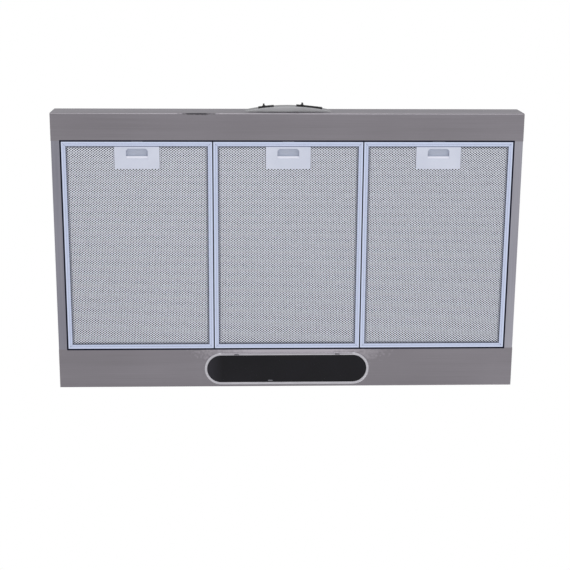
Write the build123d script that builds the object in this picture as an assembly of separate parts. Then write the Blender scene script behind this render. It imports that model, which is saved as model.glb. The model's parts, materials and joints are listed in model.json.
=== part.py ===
from build123d import *
from math import asin, atan2, cos, degrees, hypot, pi, radians, sin, sqrt
import os

# A 90 cm range hood that hangs under a wall cabinet, seen from below in use.
# +Z is up, +X is to the right for the cook, -Y is towards the room.
# The origin is the centre of the four cabinet screws, on the upper face of the top panel.
# All sizes are in millimetres.

# Shell of folded steel sheet
BODY_W = 900.0
BODY_D = 545.0
BODY_H = 150.0
FRONT_H = 70.0
FLAT_TOP_D = 320.0
SHEET = 1.0
BEND_R = 2.5
CREASE_R = 10.0
FRONT_BAND = 53.0
REAR_BAND = 79.0
SIDE_BAND = 17.4
HEM = 8.0
WELD_LIP = 12.0

# Fixing holes
CABINET_PITCH_X = 780.0
CABINET_PITCH_Y = 220.0
CABINET_HOLE_R = 3.0
CABINET_FROM_WALL = 40.0
WALL_PITCH = 700.0
WALL_HOLE_R = 3.25
WALL_HOLE_DROP = 30.0

# Cassette grease filters
FILTERS = 3
FILTER_GAP = 1.4
FILTER_END_GAP = 1.0
FILTER_H = 9.0
FILTER_RECESS = 0.4
FRAME_W = 9.2
FRAME_SKIN = 0.8
FRAME_GROOVE_W = 1.2
FRAME_GROOVE_DEPTH = 0.4
MESH_SHEET = 0.5
MESH_PLEATS = 22
PLEAT_SHEET = 0.3
TAB_W = 20.0
TAB_T = 1.5
TAB_REACH = 7.0
TAB_FROM_SIDE = 40.0

# Filter catch
CATCH_W = 86.0
CATCH_D = 43.0
CATCH_T = 1.2
CATCH_CORNER = 2.0
CATCH_WALL = 2.0
WINDOW_W = 41.4
WINDOW_D = 14.6
WINDOW_FROM_FRONT = 4.4
WINDOW_CORNER = 4.0
PULL_LIP = 4.0
SLIDER_WALL = 3.0
SLIDER_TOP = 7.2
CUP_ROOF = 0.9
TONGUE_W = 22.0
TONGUE_T = 2.6
TONGUE_REACH = 5.5
LATCH_TRAVEL = 6.5
SPRING_TURNS = 5
SPRING_R = 2.1
SPRING_WIRE = 0.7
SPRING_PEG_R = 1.5
SPRING_PEG = 3.0

# Arched control fascia
FASCIA_W = 164.0
FASCIA_OUT = 9.5
FASCIA_H = 30.0
FASCIA_LOW = 25.0
FASCIA_WALL = 2.0
FASCIA_END_T = 0.9
FASCIA_EDGE_R = 0.7
FASCIA_SCREW_X = -5.0
FASCIA_SCREW_PITCH = 16.0
FASCIA_BOSS_R = 3.5

# Slide switches
PLATE_H = 8.0
PLATE_PROUD = 2.3
LIGHT_PLATE_W = 30.0
LIGHT_PLATE_X = -42.0
LIGHT_TRAVEL = 8.0
LIGHT_START = -4.0
SPEED_PLATE_W = 50.0
SPEED_PLATE_X = 41.0
SPEED_TRAVEL = 28.0
SPEED_START = -14.0
KNOB_W = 8.0
KNOB_H = 7.0
KNOB_OUT = 6.0
KNOB_RIB_W = 0.8
STEM_W = 4.0
STEM_H = 3.0
STEM_IN = 17.0
SWITCH_D = 18.0
SWITCH_H = 20.0
SWITCH_SPARE_W = 12.0
TERMINAL_PIN = 6.0

# Lamp bay in the rear band
LAMP_W = 316.0
LAMP_D = 55.0
LAMP_FROM_WALL = 38.0
LENS_T = 2.5
LENS_PROUD = 1.5
LENS_GAP = 0.5
BEZEL_W = 5.0
BEZEL_PROUD = 2.0
BAY_H = 38.0
BAY_SHEET = 0.8
BAY_SPARE = 2.5
BAY_FLANGE = 2.0
LENS_HINGE_X = 100.0
LENS_HINGE_OUT = 2.0
KNUCKLE_R = 0.95
KNUCKLE_W = 8.0
HINGE_PIN_R = 0.45
HINGE_PIN_GRIP = 3.0
FINGER_TAB_X = -33.0
FINGER_TAB_W = 9.0
FINGER_TAB_OUT = 2.0
BULB_R = 12.5
BULB_L = 84.0
BULB_CAP_R = 7.0
BULB_CAP_L = 17.0
HOLDER_R = 11.0
HOLDER_L = 24.0

# Fan wheel
WHEEL_R = 90.0
WHEEL_H = 80.0
BLADES = 40
BLADE_DEPTH = 15.0
BLADE_T = 1.2
BLADE_LEAN = 7.0
WHEEL_RING_T = 2.0
WHEEL_CUP_TOP_R = 54.0
WHEEL_CUP_LOW_R = 49.0
WHEEL_CUP_DEPTH = 60.0
WHEEL_WALL = 2.0
HUB_R = 11.0
HUB_H = 12.0
SHAFT_R = 4.0
SHAFT_CLEARANCE = 0.05
SHAFT_END = 6.0
NUT_T = 7.0

# Motor, hung from the top panel inside the wheel's cup
MOTOR_STACK_R = 42.0
MOTOR_STACK_H = 26.0
MOTOR_BELL_R = 37.0
MOTOR_H = 52.0
MOTOR_RUBBER_H = 7.0
BRACKET_T = 2.0
BRACKET_ARM_W = 18.0
BRACKET_ARM_R = 62.0
BRACKET_ARMS = 3
RUBBER_R = 7.0

# Scroll housing, drawn with four arcs whose centres are the corners of a small square
SCROLL_STEP = 13.0
SCROLL_TIP_GAP = 10.0
SCROLL_TIP_ANGLE = 40.0
SCROLL_TIP_R = 5.0
SCROLL_WALL = 2.0
SCROLL_FLANGE = 8.0
SCROLL_SEAM = 1.5
SCROLL_FLOOR_H = 45.0
FAN_X = -190.0
EYE_R = 72.0
MOUTH_LIP_H = 10.0
MOUTH_FIT = 0.2
WHEEL_OVER_FLOOR = 7.0
GUARD_T = 3.0
GUARD_RIM = 6.0
GUARD_RINGS = 4
GUARD_BAR = 2.4
GUARD_SPOKES = 6

# Outlet collar with two backdraught flaps
DUCT_R = 60.0
COLLAR_WALL = 1.5
COLLAR_H = 35.0
COLLAR_FLANGE = 11.0
COLLAR_FLANGE_T = 2.0
COLLAR_FIT = 0.8
FLAP_T = 1.2
FLAP_GAP = 1.0
FLAP_AXIS_X = 4.2
FLAP_AXIS_Z = 6.4
FLAP_PIN_R = 1.3
LEDGE_W = 4.0
LEDGE_T = 1.5
SEAT_GAP = 0.3

# Wiring parts
BOX_X = 245.0
BOX_Y = 90.0
BOX_W = 90.0
BOX_D = 56.0
BOX_H = 40.0
BOX_WALL = 2.0
BLOCK_WAYS = 5
BLOCK_PITCH = 10.0
GROMMET_BORE_R = 4.5
GROMMET_HOLE_R = 8.0
GROMMET_RIM = 2.5
GROMMET_RIM_T = 1.5
GROMMET_SLEEVE = 1.5
CAPACITOR_R = 14.0
CAPACITOR_L = 55.0
CAPACITOR_X = 120.0
CAPACITOR_Y = -70.0
CLIP_T = 1.0
CLIP_W = 14.0
CLIP_FOOT = 16.0

# Fasteners
SCREW_R = 1.6
SCREW_HEAD_R = 3.3
SCREW_HEAD_T = 1.8
TAG_W = 2.4
TAG_T = 0.8

# Places that follow from the sizes above
WALL_Y = CABINET_FROM_WALL + CABINET_PITCH_Y / 2
FRONT_Y = WALL_Y - BODY_D
CREASE_Y = WALL_Y - FLAT_TOP_D
UNDER_Z = -BODY_H
FRONT_EDGE_Y = FRONT_Y + FRONT_BAND
REAR_EDGE_Y = WALL_Y - REAR_BAND
SIDE_EDGE_X = BODY_W / 2 - SIDE_BAND
HEM_TOP_Z = UNDER_Z + 2 * SHEET
SLOPE = atan2(BODY_H - FRONT_H, BODY_D - FLAT_TOP_D)
CEILING_Z = -SHEET


def block(x0, x1, y0, y1, z0, z1):
    """A box from its lowest to its highest corner."""
    corner = (Align.MIN, Align.MIN, Align.MIN)
    return Pos(x0, y0, z0) * Box(x1 - x0, y1 - y0, z1 - z0, align=corner)


def brick(x, y, w, d, z0, z1):
    """A box of width w and depth d, centred on x and y."""
    return block(x - w / 2, x + w / 2, y - d / 2, y + d / 2, z0, z1)


def rod(x, y, z0, z1, r):
    """An upright cylinder."""
    base = (Align.CENTER, Align.CENTER, Align.MIN)
    return Pos(x, y, z0) * Cylinder(r, z1 - z0, align=base)


def rod_x(x0, x1, y, z, r):
    """A cylinder along X."""
    return Plane(origin=(x0, y, z), z_dir=(1, 0, 0)) * Cylinder(
        r, x1 - x0, align=(Align.CENTER, Align.CENTER, Align.MIN)
    )


def rod_y(x, y0, y1, z, r):
    """A cylinder along Y."""
    return Plane(origin=(x, y0, z), z_dir=(0, 1, 0)) * Cylinder(
        r, y1 - y0, align=(Align.CENTER, Align.CENTER, Align.MIN)
    )


def stadium(length, width, x, y, z0, z1):
    """An upright prism with two straight sides and two round ends."""
    face = SlotOverall(length, width)
    return Pos(x, y, z0) * extrude(face, amount=z1 - z0)


def fold_yz(points, radii, side, x0, x1):
    """A folded sheet whose outer skin follows points in Y and Z, run from x0 to x1."""
    skin = FilletPolyline(*points, radius=radii)
    face = make_face(offset(skin, amount=SHEET, side=side))
    return Pos(x0, 0, 0) * extrude(Plane.YZ * face, amount=x1 - x0)


def group(solids):
    """Several separate solids as one node."""
    return Compound(children=list(solids))


def below_top(y, depth):
    """Height of the line that lies the given depth under the sloping top skin."""
    return -(CREASE_Y - y) * sin(SLOPE) / cos(SLOPE) - depth / cos(SLOPE)


# Shell panels


def make_front_panel():
    """Front face with a return under the hood and a lip under the sloping top."""
    top_z = below_top(FRONT_Y, SHEET)
    points = [
        (FRONT_EDGE_Y, UNDER_Z),
        (FRONT_Y, UNDER_Z),
        (FRONT_Y, top_z),
        (FRONT_Y + WELD_LIP * cos(SLOPE), top_z + WELD_LIP * sin(SLOPE)),
    ]
    panel = fold_yz(points, BEND_R, Side.RIGHT, -BODY_W / 2, BODY_W / 2)
    panel += block(
        -SIDE_EDGE_X, SIDE_EDGE_X, FRONT_EDGE_Y - HEM, FRONT_EDGE_Y, UNDER_Z + SHEET, HEM_TOP_Z
    )
    return panel


def make_back_panel():
    """Wall side with the rear return, the lamp opening and two wall screw holes."""
    points = [
        (REAR_EDGE_Y, UNDER_Z),
        (WALL_Y, UNDER_Z),
        (WALL_Y, CEILING_Z),
        (WALL_Y - WELD_LIP, CEILING_Z),
    ]
    panel = fold_yz(points, BEND_R, Side.LEFT, -BODY_W / 2, BODY_W / 2)
    panel += block(
        -SIDE_EDGE_X, SIDE_EDGE_X, REAR_EDGE_Y, REAR_EDGE_Y + HEM, UNDER_Z + SHEET, HEM_TOP_Z
    )
    for side in (-1, 1):
        panel -= rod_y(
            side * WALL_PITCH / 2, WALL_Y - SHEET, WALL_Y, -WALL_HOLE_DROP, WALL_HOLE_R
        )
    return panel - lamp_opening()


def make_top_panel():
    """Flat top with the duct hole, then a slope down to the front face."""
    points = [(WALL_Y, 0), (CREASE_Y, 0), (FRONT_Y, UNDER_Z + FRONT_H)]
    panel = fold_yz(points, CREASE_R, Side.LEFT, -BODY_W / 2, BODY_W / 2)
    panel -= rod(DUCT_X, DUCT_Y, -SHEET, 0, DUCT_R + COLLAR_FIT)
    panel -= rod(BOX_X, BOX_Y, -SHEET, 0, GROMMET_HOLE_R)
    for x in (-CABINET_PITCH_X / 2, CABINET_PITCH_X / 2):
        for y in (-CABINET_PITCH_Y / 2, CABINET_PITCH_Y / 2):
            panel -= rod(x, y, -SHEET, 0, CABINET_HOLE_R)
    return panel


def make_side_panel(neighbours):
    """Right side with a narrow return below and a lip under the top.

    It is coped round its neighbours, and the offcuts are dropped.
    """
    outer_x = BODY_W / 2
    wall = [
        (FRONT_Y + SHEET, UNDER_Z + SHEET),
        (FRONT_Y + SHEET, below_top(FRONT_Y + SHEET, SHEET)),
        (CREASE_Y, -SHEET),
        (WALL_Y - SHEET, -SHEET),
        (WALL_Y - SHEET, UNDER_Z + SHEET),
    ]
    face = make_face(Polyline(*wall, close=True))
    panel = Pos(outer_x - SHEET, 0, 0) * extrude(Plane.YZ * face, amount=SHEET)
    lip_points = [(WALL_Y - SHEET, -SHEET), (CREASE_Y, -SHEET), (FRONT_Y, below_top(FRONT_Y, SHEET))]
    panel += fold_yz(lip_points, CREASE_R - SHEET, Side.LEFT, outer_x - WELD_LIP, outer_x)
    panel -= block(
        outer_x - SHEET, outer_x, FRONT_EDGE_Y, REAR_EDGE_Y, UNDER_Z, UNDER_Z + 4 * BEND_R
    )
    angle = FilletPolyline(
        (SIDE_EDGE_X, UNDER_Z), (outer_x, UNDER_Z), (outer_x, UNDER_Z + 4 * BEND_R), radius=BEND_R
    )
    angle_face = make_face(offset(angle, amount=SHEET, side=Side.LEFT))
    upright = Plane(origin=(0, REAR_EDGE_Y, 0), x_dir=(1, 0, 0), z_dir=(0, -1, 0))
    panel += extrude(upright * angle_face, amount=REAR_EDGE_Y - FRONT_EDGE_Y)
    panel += block(
        SIDE_EDGE_X, SIDE_EDGE_X + HEM, FRONT_EDGE_Y, REAR_EDGE_Y, UNDER_Z + SHEET, HEM_TOP_Z
    )
    for piece in neighbours:
        panel -= piece
    return panel.solids().sort_by(SortBy.VOLUME)[-1]


# Grease filters

FILTER_W = (2 * SIDE_EDGE_X - (FILTERS + 1) * FILTER_GAP) / FILTERS
FILTER_Y0 = FRONT_EDGE_Y + FILTER_END_GAP
FILTER_Y1 = REAR_EDGE_Y - FILTER_END_GAP
FILTER_Z = UNDER_Z + FILTER_RECESS
TAB_Z = HEM_TOP_Z + SEAT_GAP
CATCH_Y = FILTER_Y0 + FRAME_W
SLIDER_Y0 = CATCH_Y + WINDOW_FROM_FRONT - SLIDER_WALL
SLIDER_Y1 = CATCH_Y + WINDOW_FROM_FRONT + WINDOW_D + PULL_LIP + 1.0
SLIDER_W = WINDOW_W + 2 * SLIDER_WALL
SLIDER_Z = FILTER_Z + CATCH_T + SEAT_GAP / 2
RAIL_X = SLIDER_W / 2 + SEAT_GAP
SPRING_Z = (SLIDER_Z + FILTER_Z + SLIDER_TOP) / 2
SPRING_Y1 = CATCH_Y + CATCH_D - CATCH_WALL


def filter_x(number):
    """Centre of a filter, counted from the left."""
    return (number - (FILTERS - 1) / 2) * (FILTER_W + FILTER_GAP)


def make_filter_frame(x):
    """Channel frame, open inwards, with a grooved face, a catch slot and two rear tabs."""
    x0 = x - FILTER_W / 2
    x1 = x + FILTER_W / 2
    top = FILTER_Z + FILTER_H
    frame = block(x0, x1, FILTER_Y0, FILTER_Y1, FILTER_Z, top)
    frame -= block(
        x0 + FRAME_W, x1 - FRAME_W, FILTER_Y0 + FRAME_W, FILTER_Y1 - FRAME_W, FILTER_Z, top
    )
    frame -= block(
        x0 + FRAME_SKIN,
        x1 - FRAME_SKIN,
        FILTER_Y0 + FRAME_SKIN,
        FILTER_Y1 - FRAME_SKIN,
        FILTER_Z + FRAME_SKIN,
        top - FRAME_SKIN,
    )
    inset = (FRAME_W - FRAME_GROOVE_W) / 2
    groove = block(
        x0 + inset, x1 - inset, FILTER_Y0 + inset, FILTER_Y1 - inset, FILTER_Z, FILTER_Z + FRAME_GROOVE_DEPTH
    )
    inset += FRAME_GROOVE_W
    groove -= block(
        x0 + inset, x1 - inset, FILTER_Y0 + inset, FILTER_Y1 - inset, FILTER_Z, FILTER_Z + FRAME_GROOVE_DEPTH
    )
    frame -= groove
    frame -= block(
        x - TONGUE_W / 2 - SEAT_GAP,
        x + TONGUE_W / 2 + SEAT_GAP,
        FILTER_Y0,
        FILTER_Y0 + FRAME_SKIN,
        TAB_Z - SEAT_GAP,
        TAB_Z + TONGUE_T + SEAT_GAP,
    )
    for tab_x in (x0 + TAB_FROM_SIDE, x1 - TAB_FROM_SIDE):
        frame += block(
            tab_x - TAB_W / 2,
            tab_x + TAB_W / 2,
            FILTER_Y1,
            FILTER_Y1 + FILTER_END_GAP + TAB_REACH,
            TAB_Z,
            TAB_Z + TAB_T,
        )
    return frame


def make_filter_mesh(x):
    """Grease mesh pack: a sheet below, a sheet above and a pleated layer between them."""
    x0 = x - FILTER_W / 2 + FRAME_SKIN
    x1 = x + FILTER_W / 2 - FRAME_SKIN
    y0 = FILTER_Y0 + FRAME_SKIN
    y1 = FILTER_Y1 - FRAME_SKIN
    low = FILTER_Z + FRAME_SKIN
    high = FILTER_Z + FILTER_H - FRAME_SKIN
    lower = block(x0, x1, y0, y1, low, low + MESH_SHEET)
    upper = block(x0, x1, y0, y1, high - MESH_SHEET, high)
    step = (x1 - x0 - 2 * PLEAT_SHEET) / MESH_PLEATS
    bottom_z = low + MESH_SHEET
    top_z = high - MESH_SHEET
    crest = [
        (x0 + PLEAT_SHEET + i * step, top_z if i % 2 else bottom_z + PLEAT_SHEET)
        for i in range(MESH_PLEATS + 1)
    ]
    trough = [(px, pz - PLEAT_SHEET) for px, pz in reversed(crest)]
    pleat_face = make_face(Polyline(*crest, *trough, close=True))
    upright = Plane(origin=(0, y1, 0), x_dir=(1, 0, 0), z_dir=(0, -1, 0))
    pleats = extrude(upright * pleat_face, amount=y1 - y0)
    plate_room = block(
        x - CATCH_W / 2, x + CATCH_W / 2, y0, CATCH_Y + CATCH_D, FILTER_Z, bottom_z
    )
    housing_half = RAIL_X + CATCH_WALL
    housing_room = block(
        x - housing_half, x + housing_half, y0, CATCH_Y + CATCH_D, FILTER_Z, FILTER_Z + FILTER_H
    )
    return group([lower - plate_room - housing_room, upper - housing_room, pleats - housing_room])


def make_catch_plate(x):
    """Catch plate with its finger window, two slide rails and a spring peg behind."""
    y0 = CATCH_Y
    y1 = CATCH_Y + CATCH_D
    plate = block(x - CATCH_W / 2, x + CATCH_W / 2, y0, y1, FILTER_Z, FILTER_Z + CATCH_T)
    plate = fillet(plate.edges().filter_by(Axis.Z), CATCH_CORNER)
    window_y0 = y0 + WINDOW_FROM_FRONT
    window = block(
        x - WINDOW_W / 2,
        x + WINDOW_W / 2,
        window_y0,
        window_y0 + WINDOW_D + PULL_LIP,
        FILTER_Z,
        FILTER_Z + CATCH_T,
    )
    front_corners = window.edges().filter_by(Axis.Z).sort_by(Axis.Y)[:2]
    plate -= chamfer(front_corners, WINDOW_CORNER)
    roof = FILTER_Z + FILTER_H - FRAME_SKIN
    for side in (-1, 1):
        rail_x = x + side * (RAIL_X + CATCH_WALL / 2)
        rail_y0 = y0 - FRAME_W + 2 * FRAME_SKIN
        rail_y = (rail_y0 + y1) / 2
        plate += brick(rail_x, rail_y, CATCH_WALL, y1 - rail_y0, FILTER_Z + FRAME_SKIN, roof)
        guide_x = x + side * (RAIL_X - CATCH_WALL / 2)
        guide_d = SLIDER_Y1 + LATCH_TRAVEL - y0
        guide_z = FILTER_Z + SLIDER_TOP + SEAT_GAP / 2
        plate += brick(guide_x, y0 + guide_d / 2, CATCH_WALL, guide_d, guide_z, roof)
    plate += block(x - RAIL_X, x + RAIL_X, SPRING_Y1, y1, FILTER_Z + CATCH_T, roof)
    return plate + rod_y(x, SPRING_Y1 - SPRING_PEG, SPRING_Y1, SPRING_Z, SPRING_PEG_R)


def make_latch(x):
    """Sliding latch: a finger cup with a pull lip, and a tongue that rests over the front hem."""
    half = SLIDER_W / 2
    top = FILTER_Z + SLIDER_TOP
    slider = block(x - half, x + half, SLIDER_Y0, SLIDER_Y1, SLIDER_Z, top)
    cup_y0 = CATCH_Y + WINDOW_FROM_FRONT
    cup = block(
        x - WINDOW_W / 2, x + WINDOW_W / 2, cup_y0, cup_y0 + WINDOW_D, SLIDER_Z, top - CUP_ROOF
    )
    corners = cup.edges().filter_by(Axis.Z).sort_by(Axis.Y)[:2]
    slider -= chamfer(corners, WINDOW_CORNER)
    tip_y = FRONT_EDGE_Y - TONGUE_REACH
    tongue = block(
        x - TONGUE_W / 2, x + TONGUE_W / 2, tip_y, SLIDER_Y0, TAB_Z, TAB_Z + TONGUE_T
    )
    tip = tongue.edges().filter_by(Axis.X).sort_by(Axis.Y)[:2].sort_by(Axis.Z)[0]
    return slider + chamfer(tip, TONGUE_T / 2)


def make_latch_spring(x):
    """Square wire coil spring between the slider and the peg wall."""
    length = SPRING_Y1 - SLIDER_Y1
    coil = Helix(pitch=(length - SPRING_WIRE) / SPRING_TURNS, height=length - SPRING_WIRE, radius=SPRING_R)
    section = Plane(origin=coil @ 0, z_dir=coil % 0) * Rectangle(SPRING_WIRE, SPRING_WIRE)
    spring = sweep(section, path=coil, is_frenet=True)
    axis = Plane(origin=(x, SLIDER_Y1 + SPRING_WIRE / 2, SPRING_Z), x_dir=(1, 0, 0), z_dir=(0, 1, 0))
    spring = axis * spring
    reach = 2 * SPRING_R
    keep = block(x - reach, x + reach, SLIDER_Y1, SPRING_Y1, SPRING_Z - reach, SPRING_Z + reach)
    return spring & keep


# Control fascia and slide switches

FASCIA_RISE = FASCIA_OUT - FASCIA_END_T
FASCIA_R = (FASCIA_W**2 / 4 + FASCIA_RISE**2) / (2 * FASCIA_RISE)
FASCIA_CENTRE_Y = FRONT_Y - FASCIA_OUT + FASCIA_R
FASCIA_Z0 = UNDER_Z + FASCIA_LOW
FASCIA_Z = FASCIA_Z0 + FASCIA_H / 2
SWITCH_SLOT_FIT = 0.4


def arch(radius, z0, z1, edge_r=0):
    """The part of an upright disc, its rims rounded, that stands in front of the front face."""
    disc = rod(0, FASCIA_CENTRE_Y, z0, z1, radius)
    if edge_r:
        disc = fillet(disc.edges().filter_by(GeomType.CIRCLE), edge_r)
    return disc & block(-FASCIA_W / 2, FASCIA_W / 2, FRONT_Y - FASCIA_OUT - 1, FRONT_Y, z0, z1)


def arch_plane(x):
    """Plane on the arch at a given x: local X along the arch, Y up, Z outwards."""
    turn = asin(x / FASCIA_R)
    origin = (x, FASCIA_CENTRE_Y - FASCIA_R * cos(turn), FASCIA_Z)
    return Plane(origin=origin, x_dir=(cos(turn), sin(turn), 0), z_dir=(sin(turn), -cos(turn), 0))


def switch_slot(x, start, travel):
    """The room that a switch stem sweeps, through plate, fascia, front face and switch."""
    width = travel + STEM_W + 2 * SWITCH_SLOT_FIT
    middle = start + travel / 2
    height = STEM_H + 2 * SWITCH_SLOT_FIT
    slot = block(middle - width / 2, middle + width / 2, -height / 2, height / 2, -STEM_IN - 1, PLATE_PROUD)
    return arch_plane(x) * slot


def fascia_screw_heights():
    """Heights of the two fascia screws."""
    return (FASCIA_Z - FASCIA_SCREW_PITCH / 2, FASCIA_Z + FASCIA_SCREW_PITCH / 2)


def make_control_fascia():
    """Arched moulding with a hollow back, two screw bosses and two switch slots."""
    shell = arch(FASCIA_R, FASCIA_Z0, FASCIA_Z0 + FASCIA_H, FASCIA_EDGE_R)
    shell -= arch(FASCIA_R - FASCIA_WALL, FASCIA_Z0 + FASCIA_WALL, FASCIA_Z0 + FASCIA_H - FASCIA_WALL)
    front_y = FASCIA_CENTRE_Y - FASCIA_R + FASCIA_WALL / 2
    for z in fascia_screw_heights():
        shell += rod_y(FASCIA_SCREW_X, front_y, FRONT_Y, z, FASCIA_BOSS_R)
    for z in fascia_screw_heights():
        shell -= rod_y(FASCIA_SCREW_X, FRONT_Y - FASCIA_OUT + FASCIA_WALL, FRONT_Y, z, SCREW_R)
    shell -= switch_slot(LIGHT_PLATE_X, LIGHT_START, LIGHT_TRAVEL)
    return shell - switch_slot(SPEED_PLATE_X, SPEED_START, SPEED_TRAVEL)


def make_switch_plate(x, width, start, travel):
    """Flat-faced plate that sits on the arch round a switch slot."""
    plate = block(-width / 2, width / 2, -PLATE_H / 2, PLATE_H / 2, -PLATE_PROUD, PLATE_PROUD)
    plate = arch_plane(x) * plate
    plate -= rod(0, FASCIA_CENTRE_Y, FASCIA_Z0, FASCIA_Z0 + FASCIA_H, FASCIA_R)
    return plate - switch_slot(x, start, travel)


def make_knob(x, start):
    """Ribbed knob and the stem that carries it to the switch."""
    low = PLATE_PROUD + SEAT_GAP
    cap = block(start - KNOB_W / 2, start + KNOB_W / 2, -KNOB_H / 2, KNOB_H / 2, low, low + KNOB_OUT)
    outer = cap.edges().group_by(Axis.Z)[-1]
    cap = chamfer(outer, KNOB_RIB_W)
    for place in (-1, 0, 1):
        groove_x = start + place * 2 * KNOB_RIB_W
        cap -= block(
            groove_x - KNOB_RIB_W / 2,
            groove_x + KNOB_RIB_W / 2,
            -KNOB_H / 2,
            KNOB_H / 2,
            low + KNOB_OUT - KNOB_RIB_W,
            low + KNOB_OUT,
        )
    cap += block(start - STEM_W / 2, start + STEM_W / 2, -STEM_H / 2, STEM_H / 2, -STEM_IN, low)
    return arch_plane(x) * cap


def make_switch_body(x, start, travel):
    """Slide switch behind the front face, with three solder pins."""
    width = travel + STEM_W + SWITCH_SPARE_W
    middle = x + start + travel / 2
    y0 = FRONT_Y + SHEET
    low = FASCIA_Z - SWITCH_H / 2
    body = brick(middle, y0 + SWITCH_D / 2, width, SWITCH_D, low, low + SWITCH_H)
    back_edges = body.edges().group_by(Axis.Y)[-1]
    body = chamfer(back_edges, 1.0)
    for place in (-1, 0, 1):
        pin_x = middle + place * width / 4
        pin_y = y0 + SWITCH_D + TERMINAL_PIN / 2
        body += brick(pin_x, pin_y, TAG_W, TERMINAL_PIN, FASCIA_Z - TAG_T / 2, FASCIA_Z + TAG_T / 2)
    return body - switch_slot(x, start, travel)


def make_fascia_screws():
    """Two screws from inside the front face into the fascia bosses."""
    screws = []
    for z in fascia_screw_heights():
        shank = rod_y(FASCIA_SCREW_X, FRONT_Y - FASCIA_OUT / 2, FRONT_Y + SHEET, z, SCREW_R)
        head = rod_y(FASCIA_SCREW_X, FRONT_Y + SHEET, FRONT_Y + SHEET + SCREW_HEAD_T, z, SCREW_HEAD_R)
        screws.append(shank + head)
    return group(screws)


# Lamp bay

LAMP_Y = WALL_Y - LAMP_FROM_WALL
LENS_Z0 = UNDER_Z - LENS_PROUD
LENS_HINGE_Y = LAMP_Y - LAMP_D / 2 - LENS_HINGE_OUT
LENS_HINGE_Z = UNDER_Z - BEZEL_PROUD + KNUCKLE_R
BAY_Z1 = UNDER_Z + SHEET + BAY_H
BAY_X = LAMP_W / 2 + BAY_SPARE
BAY_Y0 = LAMP_Y - LAMP_D / 2 - BAY_SPARE
BAY_Y1 = LAMP_Y + LAMP_D / 2 + BAY_SPARE
BULB_Z = UNDER_Z + SHEET + BAY_H / 2


def lamp_opening():
    """Hole in the rear return for the lens."""
    length = LAMP_W + 2 * LENS_GAP
    width = LAMP_D + 2 * LENS_GAP
    return stadium(length, width, 0, LAMP_Y, UNDER_Z - BEZEL_PROUD, HEM_TOP_Z)


def make_lamp_bezel():
    """Bright ring round the lamp opening, notched and drilled for the hinge of the lens."""
    outer_l = LAMP_W + 2 * LENS_GAP + 2 * BEZEL_W
    outer_w = LAMP_D + 2 * LENS_GAP + 2 * BEZEL_W
    ring = stadium(outer_l, outer_w, 0, LAMP_Y, UNDER_Z - BEZEL_PROUD, UNDER_Z)
    low_rim = ring.edges().group_by(Axis.Z)[0]
    ring = fillet(low_rim, BEZEL_PROUD / 2)
    ring -= lamp_opening()
    for side in (-1, 1):
        half = KNUCKLE_W / 2 + LENS_GAP
        ring -= block(
            side * LENS_HINGE_X - half,
            side * LENS_HINGE_X + half,
            LENS_HINGE_Y - KNUCKLE_R - LENS_GAP,
            LAMP_Y,
            UNDER_Z - BEZEL_PROUD,
            UNDER_Z,
        )
    for pin in lens_pins():
        ring -= pin
    return ring


def lens_pins():
    """Two short pins, one through each hinge knuckle of the lens."""
    half = KNUCKLE_W / 2 + LENS_GAP + HINGE_PIN_GRIP
    pins = []
    for side in (-1, 1):
        x = side * LENS_HINGE_X
        pins.append(rod_x(x - half, x + half, LENS_HINGE_Y, LENS_HINGE_Z, HINGE_PIN_R))
    return pins


def make_lamp_lens():
    """Dark lens that drops on two hinge knuckles, with a finger tab on its wall side."""
    lens = stadium(LAMP_W, LAMP_D, 0, LAMP_Y, LENS_Z0, LENS_Z0 + LENS_T)
    low_rim = lens.edges().group_by(Axis.Z)[0]
    lens = fillet(low_rim, LENS_T / 4)
    tab_y = LAMP_Y + LAMP_D / 2 - FINGER_TAB_OUT
    lens += block(
        FINGER_TAB_X - FINGER_TAB_W / 2,
        FINGER_TAB_X + FINGER_TAB_W / 2,
        tab_y - FINGER_TAB_OUT,
        tab_y,
        LENS_Z0 - FINGER_TAB_OUT / 2,
        LENS_Z0 + LENS_T / 2,
    )
    for side in (-1, 1):
        x0 = side * LENS_HINGE_X - KNUCKLE_W / 2
        x1 = side * LENS_HINGE_X + KNUCKLE_W / 2
        lens += rod_x(x0, x1, LENS_HINGE_Y, LENS_HINGE_Z, KNUCKLE_R)
        lens += block(
            x0, x1, LENS_HINGE_Y, LENS_HINGE_Y + 2 * LENS_HINGE_OUT, LENS_Z0, LENS_HINGE_Z + KNUCKLE_R / 2
        )
        lens -= rod_x(x0, x1, LENS_HINGE_Y, LENS_HINGE_Z, HINGE_PIN_R + SHAFT_CLEARANCE)
    return lens


def make_lamp_housing():
    """White box over the lamp opening, open below, with a welding flange all round."""
    x = BAY_X + BAY_SHEET
    y0 = BAY_Y0 - BAY_SHEET
    y1 = BAY_Y1 + BAY_SHEET
    low = UNDER_Z + SHEET
    box = block(-x, x, y0, y1, low, BAY_Z1 + BAY_SHEET)
    box += block(
        -x - BAY_FLANGE, x + BAY_FLANGE, y0 - BAY_FLANGE, y1 + BAY_FLANGE, low, low + BAY_SHEET
    )
    return box - block(-BAY_X, BAY_X, BAY_Y0, BAY_Y1, low, BAY_Z1)


def make_lamp_holder(side):
    """Small screw-cap lamp holder on an end wall of the lamp bay."""
    far = side * BAY_X
    near = side * (BAY_X - HOLDER_L)
    body = rod_x(min(near, far), max(near, far), LAMP_Y, BULB_Z, HOLDER_R)
    mouth = side * (BAY_X - HOLDER_L + BULB_CAP_L)
    bore = rod_x(min(near, mouth), max(near, mouth), LAMP_Y, BULB_Z, BULB_CAP_R)
    return chamfer(body.edges().filter_by(GeomType.CIRCLE), 1.0) - bore


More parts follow.
